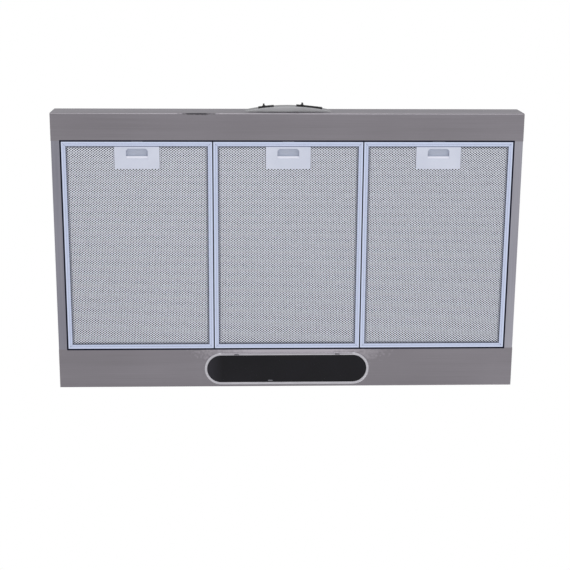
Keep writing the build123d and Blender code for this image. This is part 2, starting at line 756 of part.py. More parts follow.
def make_bulb(side):
    """Tubular lamp with its metal cap in the holder."""
    neck = BULB_CAP_L + 4.0
    dome = BULB_L - BULB_R
    outline = Polyline(
        (0, 0), (BULB_CAP_R, 0), (BULB_CAP_R, BULB_CAP_L), (BULB_R, neck + 3), (BULB_R, dome)
    )
    end = CenterArc((0, dome), BULB_R, 0, 90)
    axis = Line((0, BULB_L), (0, 0))
    half = make_face(Wire(outline.edges() + end.edges() + axis.edges()))
    bulb = revolve(Plane.XZ * half, Axis.Z)
    base_x = side * (BAY_X - HOLDER_L + BULB_CAP_L)
    seat = Plane(origin=(base_x, LAMP_Y, BULB_Z), z_dir=(-side, 0, 0))
    return seat * bulb


# Fan: scroll, guard, wheel and motor

SCROLL_TOP_R = WHEEL_R + SCROLL_TIP_GAP + 3.5 * SCROLL_STEP
SCROLL_BACK_Y = WALL_Y - WELD_LIP - SEAT_GAP - SCROLL_FLANGE - SCROLL_WALL
FAN_Y = SCROLL_BACK_Y - SCROLL_TOP_R
END_R = DUCT_R + COLLAR_FLANGE + COLLAR_FIT
DUCT_X = 0.0
DUCT_Y = FAN_Y + SCROLL_TOP_R - END_R
FLOOR_Z = UNDER_Z + SCROLL_FLOOR_H
FLOOR_TOP_Z = FLOOR_Z + SCROLL_WALL
MOUTH_OUT_R = EYE_R + SCROLL_WALL
WHEEL_Z0 = FLOOR_TOP_Z + WHEEL_OVER_FLOOR
WHEEL_Z1 = WHEEL_Z0 + WHEEL_H
MOTOR_Z1 = CEILING_Z - MOTOR_RUBBER_H - BRACKET_T
MOTOR_Z0 = MOTOR_Z1 - MOTOR_H
HUB_Z0 = WHEEL_Z1 - WHEEL_CUP_DEPTH - HUB_H / 2


def scroll_face():
    """Plan of the air chamber: four growing arcs, a straight run and a round end under the duct."""
    step = SCROLL_STEP
    r0 = WHEEL_R + SCROLL_TIP_GAP
    tip = radians(SCROLL_TIP_ANGLE)
    right = FAN_X + step / 2
    left = FAN_X - step / 2
    low = FAN_Y - step / 2
    high = FAN_Y + step / 2
    arcs = [
        CenterArc((right, low), r0, SCROLL_TIP_ANGLE, -SCROLL_TIP_ANGLE),
        CenterArc((left, low), r0 + step, 0, -90),
        CenterArc((left, high), r0 + 2 * step, -90, -90),
        CenterArc((right, high), r0 + 3 * step, 180, -90),
    ]
    tip_x = right + r0 * cos(tip)
    tip_y = low + r0 * sin(tip)
    reach = hypot(DUCT_X - tip_x, DUCT_Y - tip_y)
    heading = atan2(DUCT_Y - tip_y, DUCT_X - tip_x) - asin(END_R / reach)
    run = sqrt(reach**2 - END_R**2)
    touch_x = tip_x + run * cos(heading)
    touch_y = tip_y + run * sin(heading)
    turn = degrees(heading) - 90
    top_y = DUCT_Y + END_R
    lines = [
        Line((right, top_y), (DUCT_X, top_y)),
        CenterArc((DUCT_X, DUCT_Y), END_R, 90, turn - 90),
        Line((touch_x, touch_y), (tip_x, tip_y)),
    ]
    face = make_face(Wire([edge for line in arcs + lines for edge in line.edges()]))
    corner = face.vertices().sort_by_distance((tip_x, tip_y, 0))[0]
    return fillet(corner, SCROLL_TIP_R)


def scroll_screw_places():
    """Places of the screws through the scroll's top flange."""
    out = SCROLL_WALL + SCROLL_FLANGE / 2
    step = SCROLL_STEP
    r0 = WHEEL_R + SCROLL_TIP_GAP
    places = []
    for angle, cx, cy, r in (
        (-45, -1, -1, r0 + step),
        (-135, -1, 1, r0 + 2 * step),
        (135, 1, 1, r0 + 3 * step),
    ):
        turn = radians(angle)
        x = FAN_X + cx * step / 2 + (r + out) * cos(turn)
        y = FAN_Y + cy * step / 2 + (r + out) * sin(turn)
        places.append((x, y))
    for angle in (-60, 30):
        turn = radians(angle)
        places.append((DUCT_X + (END_R + out) * cos(turn), DUCT_Y + (END_R + out) * sin(turn)))
    return places


def make_scroll_wall():
    """Spiral wall of the scroll, with the flange that hangs it from the top panel."""
    inside = scroll_face()
    outside = offset(inside, amount=SCROLL_WALL, kind=Kind.ARC)
    brim = offset(inside, amount=SCROLL_WALL + SCROLL_FLANGE, kind=Kind.ARC)
    height = CEILING_Z - FLOOR_TOP_Z
    wall = Pos(0, 0, FLOOR_TOP_Z) * extrude(outside, amount=height)
    wall += Pos(0, 0, CEILING_Z - SCROLL_WALL) * extrude(brim, amount=SCROLL_WALL)
    wall -= Pos(0, 0, FLOOR_TOP_Z) * extrude(inside, amount=height)
    for x, y in scroll_screw_places():
        wall -= rod(x, y, CEILING_Z - SCROLL_WALL, CEILING_Z, SCREW_R)
    return wall


def make_scroll_floor():
    """Floor of the scroll, bonded under its wall, with a hole for the inlet mouth."""
    outline = offset(scroll_face(), amount=SCROLL_WALL + SCROLL_SEAM, kind=Kind.ARC)
    floor = Pos(0, 0, FLOOR_Z) * extrude(outline, amount=SCROLL_WALL)
    return floor - rod(FAN_X, FAN_Y, FLOOR_Z, FLOOR_TOP_Z, MOUTH_OUT_R + MOUTH_FIT)


def make_inlet_mouth():
    """Ring set into the scroll floor, rounded where the air comes in."""
    mouth = rod(FAN_X, FAN_Y, FLOOR_Z, FLOOR_TOP_Z + MOUTH_LIP_H, MOUTH_OUT_R)
    mouth -= rod(FAN_X, FAN_Y, FLOOR_Z, FLOOR_TOP_Z + MOUTH_LIP_H, EYE_R)
    rim = [
        edge
        for edge in mouth.edges().filter_by(GeomType.CIRCLE)
        if abs(edge.radius - EYE_R) < 0.01 and abs(edge.center().Z - FLOOR_Z) < 0.01
    ]
    return fillet(rim, SCROLL_WALL * 0.9)


def make_scroll_screws():
    """Screws that hold the scroll flange up to the top panel."""
    screws = []
    for x, y in scroll_screw_places():
        low = CEILING_Z - SCROLL_WALL
        screws.append(
            rod(x, y, low, CEILING_Z, SCREW_R) + rod(x, y, low - SCREW_HEAD_T, low, SCREW_HEAD_R)
        )
    return group(screws)


def make_inlet_guard():
    """Finger guard under the inlet: rings on spokes inside a flat rim."""
    z0 = FLOOR_Z - GUARD_T
    rim_in = EYE_R
    guard = rod(FAN_X, FAN_Y, z0, FLOOR_Z, rim_in + GUARD_RIM) - rod(FAN_X, FAN_Y, z0, FLOOR_Z, rim_in)
    pitch = rim_in / (GUARD_RINGS + 0.5)
    for number in range(GUARD_RINGS):
        r = pitch * (number + 0.5) + GUARD_BAR
        guard += rod(FAN_X, FAN_Y, z0, FLOOR_Z - GUARD_T / 3, r) - rod(
            FAN_X, FAN_Y, z0, FLOOR_Z, r - GUARD_BAR
        )
    spoke_end = rim_in + GUARD_RIM / 2
    half = GUARD_BAR / 2
    spoke = block(pitch / 2, spoke_end, -half, half, z0, FLOOR_Z - GUARD_T / 3)
    for number in range(GUARD_SPOKES):
        guard += Pos(FAN_X, FAN_Y, 0) * Rot(0, 0, 360 / GUARD_SPOKES * number) * spoke
    return guard


def make_impeller():
    """Centrifugal wheel with forward-curved blades between two rings and a cup for the motor."""
    r_in = WHEEL_R - BLADE_DEPTH
    lean = radians(BLADE_LEAN)
    root = (r_in, 0)
    middle = ((r_in + WHEEL_R) / 2, -BLADE_DEPTH * 0.02)
    tip = (WHEEL_R * cos(lean), -WHEEL_R * sin(lean))
    curve = ThreePointArc(root, middle, tip)
    section = make_face(offset(curve, amount=BLADE_T, side=Side.LEFT))
    blade = Pos(0, 0, WHEEL_Z0) * extrude(section, amount=WHEEL_H)
    ring_low = rod(0, 0, WHEEL_Z0, WHEEL_Z0 + 3 * WHEEL_RING_T, WHEEL_R) - rod(
        0, 0, WHEEL_Z0, WHEEL_Z1, WHEEL_R - WHEEL_RING_T
    )
    blades = [Rot(0, 0, 360 / BLADES * number) * blade for number in range(BLADES)]
    cup_low = WHEEL_Z1 - WHEEL_CUP_DEPTH
    t = WHEEL_WALL
    profile = Polyline(
        (SHAFT_R, HUB_Z0),
        (HUB_R, HUB_Z0),
        (HUB_R, cup_low - t),
        (WHEEL_CUP_LOW_R + t, cup_low - t),
        (WHEEL_CUP_TOP_R + t, WHEEL_Z1 - t),
        (WHEEL_R, WHEEL_Z1 - t),
        (WHEEL_R, WHEEL_Z1),
        (WHEEL_CUP_TOP_R, WHEEL_Z1),
        (WHEEL_CUP_LOW_R, cup_low),
        (HUB_R, cup_low),
        (HUB_R, HUB_Z0 + HUB_H),
        (SHAFT_R, HUB_Z0 + HUB_H),
        close=True,
    )
    disc = revolve(Plane.XZ * make_face(profile), Axis.Z)
    rim = rod(0, 0, WHEEL_Z0, WHEEL_Z1, WHEEL_R)
    wheel = disc + ring_low
    wheel += [blade & rim for blade in blades]
    return Pos(FAN_X, FAN_Y, 0) * wheel


def make_wheel_nut():
    """Hexagonal nut that holds the wheel on the shaft."""
    nut = extrude(RegularPolygon(HUB_R * 0.8, 6), amount=NUT_T)
    nut = Pos(FAN_X, FAN_Y, HUB_Z0 - NUT_T) * nut
    return nut - rod(FAN_X, FAN_Y, HUB_Z0 - NUT_T, HUB_Z0, SHAFT_R)


def make_motor_shaft():
    """Shaft through both motor bearings, the hub and the nut."""
    shaft = rod(FAN_X, FAN_Y, HUB_Z0 - NUT_T - SHAFT_END, MOTOR_Z1 - SHAFT_END, SHAFT_R)
    ends = shaft.edges().filter_by(GeomType.CIRCLE)
    return chamfer(ends, SHAFT_R / 8)


def make_motor_stator():
    """Laminated stack between the bells, with four shallow flats and a rotor bore."""
    z0 = (MOTOR_Z0 + MOTOR_Z1 - MOTOR_STACK_H) / 2
    z1 = z0 + MOTOR_STACK_H
    stack = rod(FAN_X, FAN_Y, z0, z1, MOTOR_STACK_R)
    flat = MOTOR_STACK_R * 0.94
    square = block(-flat, flat, -flat, flat, z0, z1)
    stack = stack & (Pos(FAN_X, FAN_Y, 0) * square)
    return stack - rod(FAN_X, FAN_Y, z0, z1, SHAFT_R + SHAFT_CLEARANCE)


def make_motor_bell(upper):
    """Cast end bell with a bearing boss and cooling windows."""
    depth = (MOTOR_H - MOTOR_STACK_H) / 2
    base = MOTOR_BELL_R
    profile = Polyline(
        (SHAFT_R + SHAFT_CLEARANCE, 0),
        (base, 0),
        (base, depth * 0.4),
        (base * 0.7, depth * 0.8),
        (base * 0.3, depth * 0.8),
        (base * 0.3, depth),
        (SHAFT_R + SHAFT_CLEARANCE, depth),
        close=True,
    )
    bell = revolve(Plane.XZ * make_face(profile), Axis.Z)
    window = block(base * 0.45, base * 0.85, -base * 0.12, base * 0.12, depth * 0.3, depth)
    for number in range(6):
        bell -= Rot(0, 0, 60 * number) * window
    if upper:
        return Pos(FAN_X, FAN_Y, MOTOR_Z1 - depth) * bell
    return Pos(FAN_X, FAN_Y, MOTOR_Z0 + depth) * Rot(180, 0, 0) * bell


def bracket_arm_places():
    """Centres of the rubber mounts at the ends of the bracket arms."""
    places = []
    for number in range(BRACKET_ARMS):
        turn = 2 * pi * number / BRACKET_ARMS + pi / 2
        x = FAN_X + (BRACKET_ARM_R - RUBBER_R) * cos(turn)
        y = FAN_Y + (BRACKET_ARM_R - RUBBER_R) * sin(turn)
        places.append((x, y))
    return places


def make_motor_bracket():
    """Pressed spider plate over the motor, with one arm for each rubber mount."""
    z0 = MOTOR_Z1
    plate = rod(FAN_X, FAN_Y, z0, z0 + BRACKET_T, MOTOR_BELL_R)
    arm = block(0, BRACKET_ARM_R, -BRACKET_ARM_W / 2, BRACKET_ARM_W / 2, z0, z0 + BRACKET_T)
    arm_ends = arm.edges().filter_by(Axis.Z).sort_by(Axis.X)[-2:]
    arm = fillet(arm_ends, BRACKET_ARM_W * 0.4)
    for number in range(BRACKET_ARMS):
        turn = 360 * number / BRACKET_ARMS + 90
        plate += Pos(FAN_X, FAN_Y, 0) * Rot(0, 0, turn) * arm
    for x, y in bracket_arm_places():
        plate -= rod(x, y, z0, z0 + BRACKET_T, SCREW_R)
    return plate - rod(FAN_X, FAN_Y, z0, z0 + BRACKET_T, MOTOR_BELL_R * 0.3)


def make_motor_rubbers():
    """Rubber mounts between the bracket arms and the top panel."""
    rubbers = []
    for x, y in bracket_arm_places():
        low = MOTOR_Z1 + BRACKET_T
        rubber = rod(x, y, low, CEILING_Z, RUBBER_R)
        waist = rod(x, y, low + MOTOR_RUBBER_H / 3, CEILING_Z - MOTOR_RUBBER_H / 3, RUBBER_R)
        waist -= rod(x, y, low, CEILING_Z, RUBBER_R * 0.75)
        rubbers.append(rubber - waist - rod(x, y, low, CEILING_Z, SCREW_R))
    return group(rubbers)


def make_motor_screws():
    """Screws up through the bracket arms and their rubbers."""
    screws = []
    for x, y in bracket_arm_places():
        screw = rod(x, y, MOTOR_Z1, CEILING_Z, SCREW_R)
        screws.append(screw + rod(x, y, MOTOR_Z1 - SCREW_HEAD_T, MOTOR_Z1, SCREW_HEAD_R))
    return group(screws)


# Outlet collar and flaps

FLAP_Z0 = FLAP_AXIS_Z - FLAP_T / 2
LEDGE_Z1 = FLAP_Z0 - SEAT_GAP
BORE_R = DUCT_R - COLLAR_WALL
FLAP_PIN_CLEARANCE = 0.05


def collar_screw_places():
    """Places of the screws through the collar flange."""
    places = []
    for number in range(4):
        turn = pi / 4 + number * pi / 2
        r = DUCT_R + COLLAR_FLANGE / 2
        places.append((DUCT_X + r * cos(turn), DUCT_Y + r * sin(turn)))
    return places


def make_outlet_collar():
    """Collar pushed up through the top panel, with a flap ledge and a centre bar."""
    low = CEILING_Z - COLLAR_FLANGE_T
    collar = rod(DUCT_X, DUCT_Y, low, COLLAR_H, DUCT_R)
    collar += rod(DUCT_X, DUCT_Y, low, CEILING_Z, DUCT_R + COLLAR_FLANGE)
    collar -= rod(DUCT_X, DUCT_Y, low, COLLAR_H, BORE_R)
    ledge_z0 = LEDGE_Z1 - LEDGE_T
    ledge = rod(DUCT_X, DUCT_Y, ledge_z0, LEDGE_Z1, BORE_R) - rod(
        DUCT_X, DUCT_Y, ledge_z0, LEDGE_Z1, BORE_R - LEDGE_W
    )
    bar_half = FLAP_AXIS_X - FLAP_PIN_R - SEAT_GAP
    bar = block(
        DUCT_X - bar_half, DUCT_X + bar_half, DUCT_Y - BORE_R, DUCT_Y + BORE_R, ledge_z0, FLAP_AXIS_Z
    )
    collar += ledge
    collar += bar & rod(DUCT_X, DUCT_Y, ledge_z0, FLAP_AXIS_Z, BORE_R + COLLAR_WALL / 2)
    for side in (-1, 1):
        x = DUCT_X + side * FLAP_AXIS_X
        ledge_room = rod_y(x, DUCT_Y - BORE_R, DUCT_Y + BORE_R, FLAP_AXIS_Z, FLAP_PIN_R + SEAT_GAP)
        collar -= ledge_room & rod(DUCT_X, DUCT_Y, ledge_z0, COLLAR_H, BORE_R)
        collar -= rod_y(
            x, DUCT_Y - DUCT_R, DUCT_Y + DUCT_R, FLAP_AXIS_Z, FLAP_PIN_R + FLAP_PIN_CLEARANCE
        )
    for x, y in collar_screw_places():
        collar -= rod(x, y, low, CEILING_Z, SCREW_R)
    return collar


def make_collar_screws():
    """Screws up through the collar flange into the top panel."""
    screws = []
    for x, y in collar_screw_places():
        low = CEILING_Z - COLLAR_FLANGE_T
        screw = rod(x, y, low, CEILING_Z, SCREW_R)
        screws.append(screw + rod(x, y, low - SCREW_HEAD_T, low, SCREW_HEAD_R))
    return group(screws)


def make_damper_flap(side):
    """Half-round flap with its hinge pin along the straight edge."""
    r = BORE_R - FLAP_GAP
    flap = rod(DUCT_X, DUCT_Y, FLAP_Z0, FLAP_Z0 + FLAP_T, r)
    near = DUCT_X + side * FLAP_AXIS_X
    far = DUCT_X + side * (r + 1)
    flap = flap & block(min(near, far), max(near, far), DUCT_Y - r, DUCT_Y + r, FLAP_Z0, FLAP_Z0 + FLAP_T)
    reach = sqrt(DUCT_R**2 - FLAP_AXIS_X**2) - COLLAR_WALL / 3
    flap += rod_y(near, DUCT_Y - reach, DUCT_Y + reach, FLAP_AXIS_Z, FLAP_PIN_R)
    rib_x = DUCT_X + side * r / 2
    rib_z = FLAP_Z0 + FLAP_T
    return flap + brick(rib_x, DUCT_Y, 2 * FLAP_T, 1.2 * r, rib_z, rib_z + 2 * FLAP_T)


# Wiring parts under the top panel


def make_terminal_box():
    """Box for the mains joint, open below, with a hole for the grommet above."""
    x0 = BOX_X - BOX_W / 2
    x1 = BOX_X + BOX_W / 2
    y0 = BOX_Y - BOX_D / 2
    y1 = BOX_Y + BOX_D / 2
    low = CEILING_Z - BOX_H
    box = block(x0, x1, y0, y1, low, CEILING_Z)
    box = fillet(box.edges().filter_by(Axis.Z), 2 * BOX_WALL)
    box -= block(x0 + BOX_WALL, x1 - BOX_WALL, y0 + BOX_WALL, y1 - BOX_WALL, low, CEILING_Z - BOX_WALL)
    box -= rod(BOX_X, BOX_Y, CEILING_Z - BOX_WALL, CEILING_Z, GROMMET_HOLE_R + GROMMET_RIM + SEAT_GAP)
    return box


def make_terminal_lid():
    """Lid under the terminal box, with a shallow step inside its walls."""
    x0 = BOX_X - BOX_W / 2
    x1 = BOX_X + BOX_W / 2
    y0 = BOX_Y - BOX_D / 2
    y1 = BOX_Y + BOX_D / 2
    low = CEILING_Z - BOX_H
    lid = block(x0, x1, y0, y1, low - BOX_WALL, low)
    lid = fillet(lid.edges().filter_by(Axis.Z), 2 * BOX_WALL)
    inset = BOX_WALL + SEAT_GAP
    return lid + block(x0 + inset, x1 - inset, y0 + inset, y1 - inset, low, low + BOX_WALL)


def make_terminal_block():
    """Row of screw terminals that stands on the lid."""
    length = BLOCK_WAYS * BLOCK_PITCH
    x0 = BOX_X - length / 2
    low = CEILING_Z - BOX_H + BOX_WALL
    base = block(x0, x0 + length, BOX_Y - 9, BOX_Y + 9, low, low + 6)
    for way in range(BLOCK_WAYS):
        x = x0 + (way + 0.5) * BLOCK_PITCH
        tower = block(x - 3.5, x + 3.5, BOX_Y - 7, BOX_Y + 7, low + 6, low + 12)
        base += tower - rod(x, BOX_Y, low + 8, low + 12, 2)
    return base


def make_cable_grommet():
    """Rubber bushing pushed up from inside until it lies flush with the top."""
    rim_z = CEILING_Z - GROMMET_RIM_T
    low = rim_z - GROMMET_SLEEVE
    grommet = rod(BOX_X, BOX_Y, rim_z, 0, GROMMET_HOLE_R)
    grommet += rod(BOX_X, BOX_Y, rim_z, CEILING_Z, GROMMET_HOLE_R + GROMMET_RIM)
    sleeve = rod(BOX_X, BOX_Y, low, rim_z, (GROMMET_BORE_R + GROMMET_HOLE_R) / 2)
    grommet += chamfer(sleeve.edges().group_by(Axis.Z)[0], GROMMET_SLEEVE / 3)
    return grommet - rod(BOX_X, BOX_Y, low, 0, GROMMET_BORE_R)


CAPACITOR_Z = CEILING_Z - CLIP_T - CAPACITOR_R


def make_capacitor():
    """Motor capacitor, a can with a stud end, lying along Y."""
    half = CAPACITOR_L / 2
    can = rod_y(CAPACITOR_X, CAPACITOR_Y - half, CAPACITOR_Y + half, CAPACITOR_Z, CAPACITOR_R)
    can = chamfer(can.edges().filter_by(GeomType.CIRCLE), 1.5)
    for side in (-1, 1):
        tag_x = CAPACITOR_X + side * CAPACITOR_R / 2
        tag_y = CAPACITOR_Y - half - TERMINAL_PIN / 2
        can += brick(tag_x, tag_y, TAG_W, TERMINAL_PIN, CAPACITOR_Z - TAG_T / 2, CAPACITOR_Z + TAG_T / 2)
    return can


def make_capacitor_clip():
    """Sheet strap round the capacitor with a foot on each side under the top panel."""
    y0 = CAPACITOR_Y - CLIP_W / 2
    y1 = CAPACITOR_Y + CLIP_W / 2
    outer = CAPACITOR_R + CLIP_T
    strap = rod_y(CAPACITOR_X, y0, y1, CAPACITOR_Z, outer)
    strap += block(CAPACITOR_X - outer, CAPACITOR_X + outer, y0, y1, CAPACITOR_Z, CEILING_Z)
    strap += brick(CAPACITOR_X, CAPACITOR_Y, 2 * (outer + CLIP_FOOT), CLIP_W, CEILING_Z - CLIP_T, CEILING_Z)
    return strap - rod_y(CAPACITOR_X, y0, y1, CAPACITOR_Z, CAPACITOR_R) - block(
        CAPACITOR_X - CAPACITOR_R, CAPACITOR_X + CAPACITOR_R, y0, y1, CAPACITOR_Z, CEILING_Z - CLIP_T
    )


# The nodes

front_panel = make_front_panel()
back_panel = make_back_panel()
top_panel = make_top_panel()
for x, y in scroll_screw_places() + bracket_arm_places() + collar_screw_places():
    top_panel -= rod(x, y, -SHEET, 0, SCREW_R)
for z in fascia_screw_heights():
    front_panel -= rod_y(FASCIA_SCREW_X, FRONT_Y, FRONT_Y + SHEET, z, SCREW_R)
front_panel -= switch_slot(LIGHT_PLATE_X, LIGHT_START, LIGHT_TRAVEL)
front_panel -= switch_slot(SPEED_PLATE_X, SPEED_START, SPEED_TRAVEL)
right_panel = make_side_panel([front_panel, back_panel, top_panel])

nodes = {
    "front_panel": front_panel,
    "back_panel": back_panel,
    "top_panel": top_panel,
    "right_panel": right_panel,
    "left_panel": mirror(right_panel, about=Plane.YZ),
    "control_fascia": make_control_fascia(),
    "fascia_screws": make_fascia_screws(),
    "light_switch_plate": make_switch_plate(LIGHT_PLATE_X, LIGHT_PLATE_W, LIGHT_START, LIGHT_TRAVEL),
    "speed_switch_plate": make_switch_plate(SPEED_PLATE_X, SPEED_PLATE_W, SPEED_START, SPEED_TRAVEL),
    "light_knob": make_knob(LIGHT_PLATE_X, LIGHT_START),
    "speed_knob": make_knob(SPEED_PLATE_X, SPEED_START),
    "light_switch": make_switch_body(LIGHT_PLATE_X, LIGHT_START, LIGHT_TRAVEL),
    "speed_switch": make_switch_body(SPEED_PLATE_X, SPEED_START, SPEED_TRAVEL),
    "lamp_bezel": make_lamp_bezel(),
    "lamp_lens": make_lamp_lens(),
    "lens_hinge_pins": group(lens_pins()),
    "lamp_housing": make_lamp_housing(),
    "left_lamp_holder": make_lamp_holder(-1),
    "right_lamp_holder": make_lamp_holder(1),
    "left_bulb": make_bulb(-1),
    "right_bulb": make_bulb(1),
    "scroll_housing": make_scroll_wall(),
    "scroll_floor": make_scroll_floor(),
    "inlet_mouth": make_inlet_mouth(),
    "scroll_screws": make_scroll_screws(),
    "inlet_guard": make_inlet_guard(),
    "fan_wheel": make_impeller(),
    "wheel_nut": make_wheel_nut(),
    "motor_shaft": make_motor_shaft(),
    "motor_stator": make_motor_stator(),
    "motor_upper_bell": make_motor_bell(True),
    "motor_lower_bell": make_motor_bell(False),
    "motor_bracket": make_motor_bracket(),
    "motor_rubbers": make_motor_rubbers(),
    "motor_screws": make_motor_screws(),
    "outlet_collar": make_outlet_collar(),
    "collar_screws": make_collar_screws(),
    "left_flap": make_damper_flap(-1),
    "right_flap": make_damper_flap(1),
    "terminal_box": make_terminal_box(),
    "terminal_lid": make_terminal_lid(),
    "terminal_block": make_terminal_block(),
    "cable_grommet": make_cable_grommet(),
    "capacitor": make_capacitor(),
    "capacitor_clip": make_capacitor_clip(),
}
for number in range(FILTERS):
    x = filter_x(number)
    name = f"filter_{number + 1}"
    nodes[f"{name}_frame"] = make_filter_frame(x)
    nodes[f"{name}_mesh"] = make_filter_mesh(x)
    nodes[f"{name}_catch_plate"] = make_catch_plate(x)
    nodes[f"{name}_latch"] = make_latch(x)
    nodes[f"{name}_spring"] = make_latch_spring(x)

os.makedirs("parts", exist_ok=True)
for name, shape in nodes.items():
    export_step(shape, f"parts/{name}.step")
    print(name, round(shape.volume), "mm3", len(shape.solids()), "solids")
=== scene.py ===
# %% [markdown]
# # A slim range hood, looked at from below
# The hood is a folded box of brushed stainless steel that hangs under a kitchen cabinet.
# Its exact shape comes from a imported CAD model, which is loaded first and never changed.
# Blender adds what CAD leaves plain: the real expanded mesh of the filters, round springs,
# slim knobs for the switches, and every finish.

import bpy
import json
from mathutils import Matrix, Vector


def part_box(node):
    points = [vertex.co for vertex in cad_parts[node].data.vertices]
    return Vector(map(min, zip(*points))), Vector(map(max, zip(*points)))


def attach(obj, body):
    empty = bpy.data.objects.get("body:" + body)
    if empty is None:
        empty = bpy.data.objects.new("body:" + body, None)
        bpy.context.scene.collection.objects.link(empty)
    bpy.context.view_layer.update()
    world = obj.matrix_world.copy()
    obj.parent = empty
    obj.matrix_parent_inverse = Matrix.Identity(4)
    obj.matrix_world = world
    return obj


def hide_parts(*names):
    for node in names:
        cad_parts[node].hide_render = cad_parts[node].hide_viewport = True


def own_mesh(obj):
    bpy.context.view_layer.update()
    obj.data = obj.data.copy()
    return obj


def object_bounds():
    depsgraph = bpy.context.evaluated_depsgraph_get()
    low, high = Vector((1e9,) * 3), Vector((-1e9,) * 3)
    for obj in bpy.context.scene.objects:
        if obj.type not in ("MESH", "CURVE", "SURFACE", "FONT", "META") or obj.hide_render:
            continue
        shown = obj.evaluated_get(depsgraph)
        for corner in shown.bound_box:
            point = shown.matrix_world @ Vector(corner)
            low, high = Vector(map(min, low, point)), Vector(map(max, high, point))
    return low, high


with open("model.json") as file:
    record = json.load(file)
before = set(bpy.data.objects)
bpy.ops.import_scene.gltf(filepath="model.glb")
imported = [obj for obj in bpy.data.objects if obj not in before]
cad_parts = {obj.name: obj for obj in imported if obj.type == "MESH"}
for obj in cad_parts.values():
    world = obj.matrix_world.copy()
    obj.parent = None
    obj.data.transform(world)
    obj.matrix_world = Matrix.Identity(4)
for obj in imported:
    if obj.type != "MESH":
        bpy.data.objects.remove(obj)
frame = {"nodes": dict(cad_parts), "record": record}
cad_box = [list(corner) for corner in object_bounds()]

import json
from math import radians

import bpy

MM = 0.001
scene = bpy.context.scene
print("CAD box in metres:", cad_box)

# %% [markdown]
# ## Camera
# The photograph looks up at the underside from 2.5 m away, a little in front of it and a
# little to its left, so the front edge of the hood is at the top of the picture.
# A long lens keeps the sides nearly parallel. A lens in millimetres is the width of the
# sensor times the focal length in pixels, shared over the picture's width.

# %% Place the camera
PICTURE_SIDE = 570
FOCAL_LENGTH_IN_PIXELS = 1290
SENSOR = 36.0

camera_data = bpy.data.cameras.new("camera")
camera_data.sensor_width = SENSOR
camera_data.lens = SENSOR * FOCAL_LENGTH_IN_PIXELS / PICTURE_SIDE
camera = bpy.data.objects.new("camera", camera_data)
camera.location = (-0.0949, -0.7013, -2.5907)
camera.rotation_euler = (radians(165.26), radians(2.02), radians(-0.36))
scene.collection.objects.link(camera)
scene.camera = camera
print("lens in mm:", round(camera_data.lens, 1))

# %% [markdown]
# ## World
# Bare metal shows its surroundings more than its own colour. So the world is white wherever
# the camera or a reflection sees it, and dimmer as a source of light, which leaves the lamps
# room to model the shapes. The kind of a ray, from the Light Path node, tells the two apart.

# %% World
WORLD_LIGHT = 0.82

scene.view_settings.view_transform = "Standard"
world = bpy.data.worlds.new("studio")
scene.world = world
world.use_nodes = True
world_nodes = world.node_tree.nodes
world_links = world.node_tree.links
background = world_nodes["Background"]
background.inputs["Color"].default_value = (1, 1, 1, 1)
light_path = world_nodes.new("ShaderNodeLightPath")
seen_or_mirrored = world_nodes.new("ShaderNodeMath")
seen_or_mirrored.operation = "MAXIMUM"
seen_through_too = world_nodes.new("ShaderNodeMath")
seen_through_too.operation = "MAXIMUM"
strength = world_nodes.new("ShaderNodeMapRange")
strength.inputs["To Min"].default_value = WORLD_LIGHT
strength.inputs["To Max"].default_value = 1.0
world_links.new(light_path.outputs["Is Camera Ray"], seen_or_mirrored.inputs[0])
world_links.new(light_path.outputs["Is Glossy Ray"], seen_or_mirrored.inputs[1])
world_links.new(seen_or_mirrored.outputs[0], seen_through_too.inputs[0])
world_links.new(light_path.outputs["Is Transmission Ray"], seen_through_too.inputs[1])
world_links.new(seen_through_too.outputs[0], strength.inputs["Value"])
world_links.new(strength.outputs["Result"], background.inputs["Strength"])
print("world light:", WORLD_LIGHT)

# %% [markdown]
# ## Lamps
# Three big soft lamps model the shapes: one in front and low, one from the other side below,
# and one above for the views from the top. Big lamps give soft edges to the shadows and wide,
# calm reflections on the brushed metal.

# %% Lamps
from mathutils import Vector


def soft_lamp(name, place, aim, size, power, colour=(1, 1, 1)):
    """A square area lamp that looks at a point and that no camera sees."""
    data = bpy.data.lights.new(name, "AREA")
    data.size = size
    data.energy = power
    data.color = colour
    lamp = bpy.data.objects.new(name, data)
    lamp.location = place
    lamp.rotation_euler = (Vector(aim) - Vector(place)).to_track_quat("-Z", "Y").to_euler()
    lamp.visible_camera = False
    scene.collection.objects.link(lamp)
    print("lamp", name, power, "W")


HOOD_MIDDLE = (0, -0.12, -0.1)
soft_lamp("front_lamp", (0.1, -2.8, -1.0), HOOD_MIDDLE, 2.0, 26)
soft_lamp("back_lamp", (1.6, 2.4, -1.6), HOOD_MIDDLE, 1.6, 14)
soft_lamp("top_lamp", (1.2, 1.4, 2.4), HOOD_MIDDLE, 1.8, 36)

# %% [markdown]
# ## Finishes
# A finish is a small network of nodes. All of them here read the object's own coordinates,
# in metres, so a pattern has its real size and stays on the piece when it moves.
# The first helpers start a material, read those coordinates, and make the two patterns that
# nearly every surface needs: clouds of noise, and cells round scattered points.

# %% Helpers: a material and its patterns


def tone(red, green, blue):
    """A colour on the 0 to 255 scale of a screen, as the linear light that shaders use."""
    parts = [value / 255 for value in (red, green, blue)]
    linear = [p / 12.92 if p < 0.04 else ((p + 0.055) / 1.055) ** 2.4 for p in parts]
    return (*linear, 1)


def new_finish(name, metallic, roughness):
    """A material with its main shader set."""
    material = bpy.data.materials.new(name)
    material.use_nodes = True
    shader = material.node_tree.nodes["Principled BSDF"]
    shader.inputs["Metallic"].default_value = metallic
    shader.inputs["Roughness"].default_value = roughness
    return material, shader


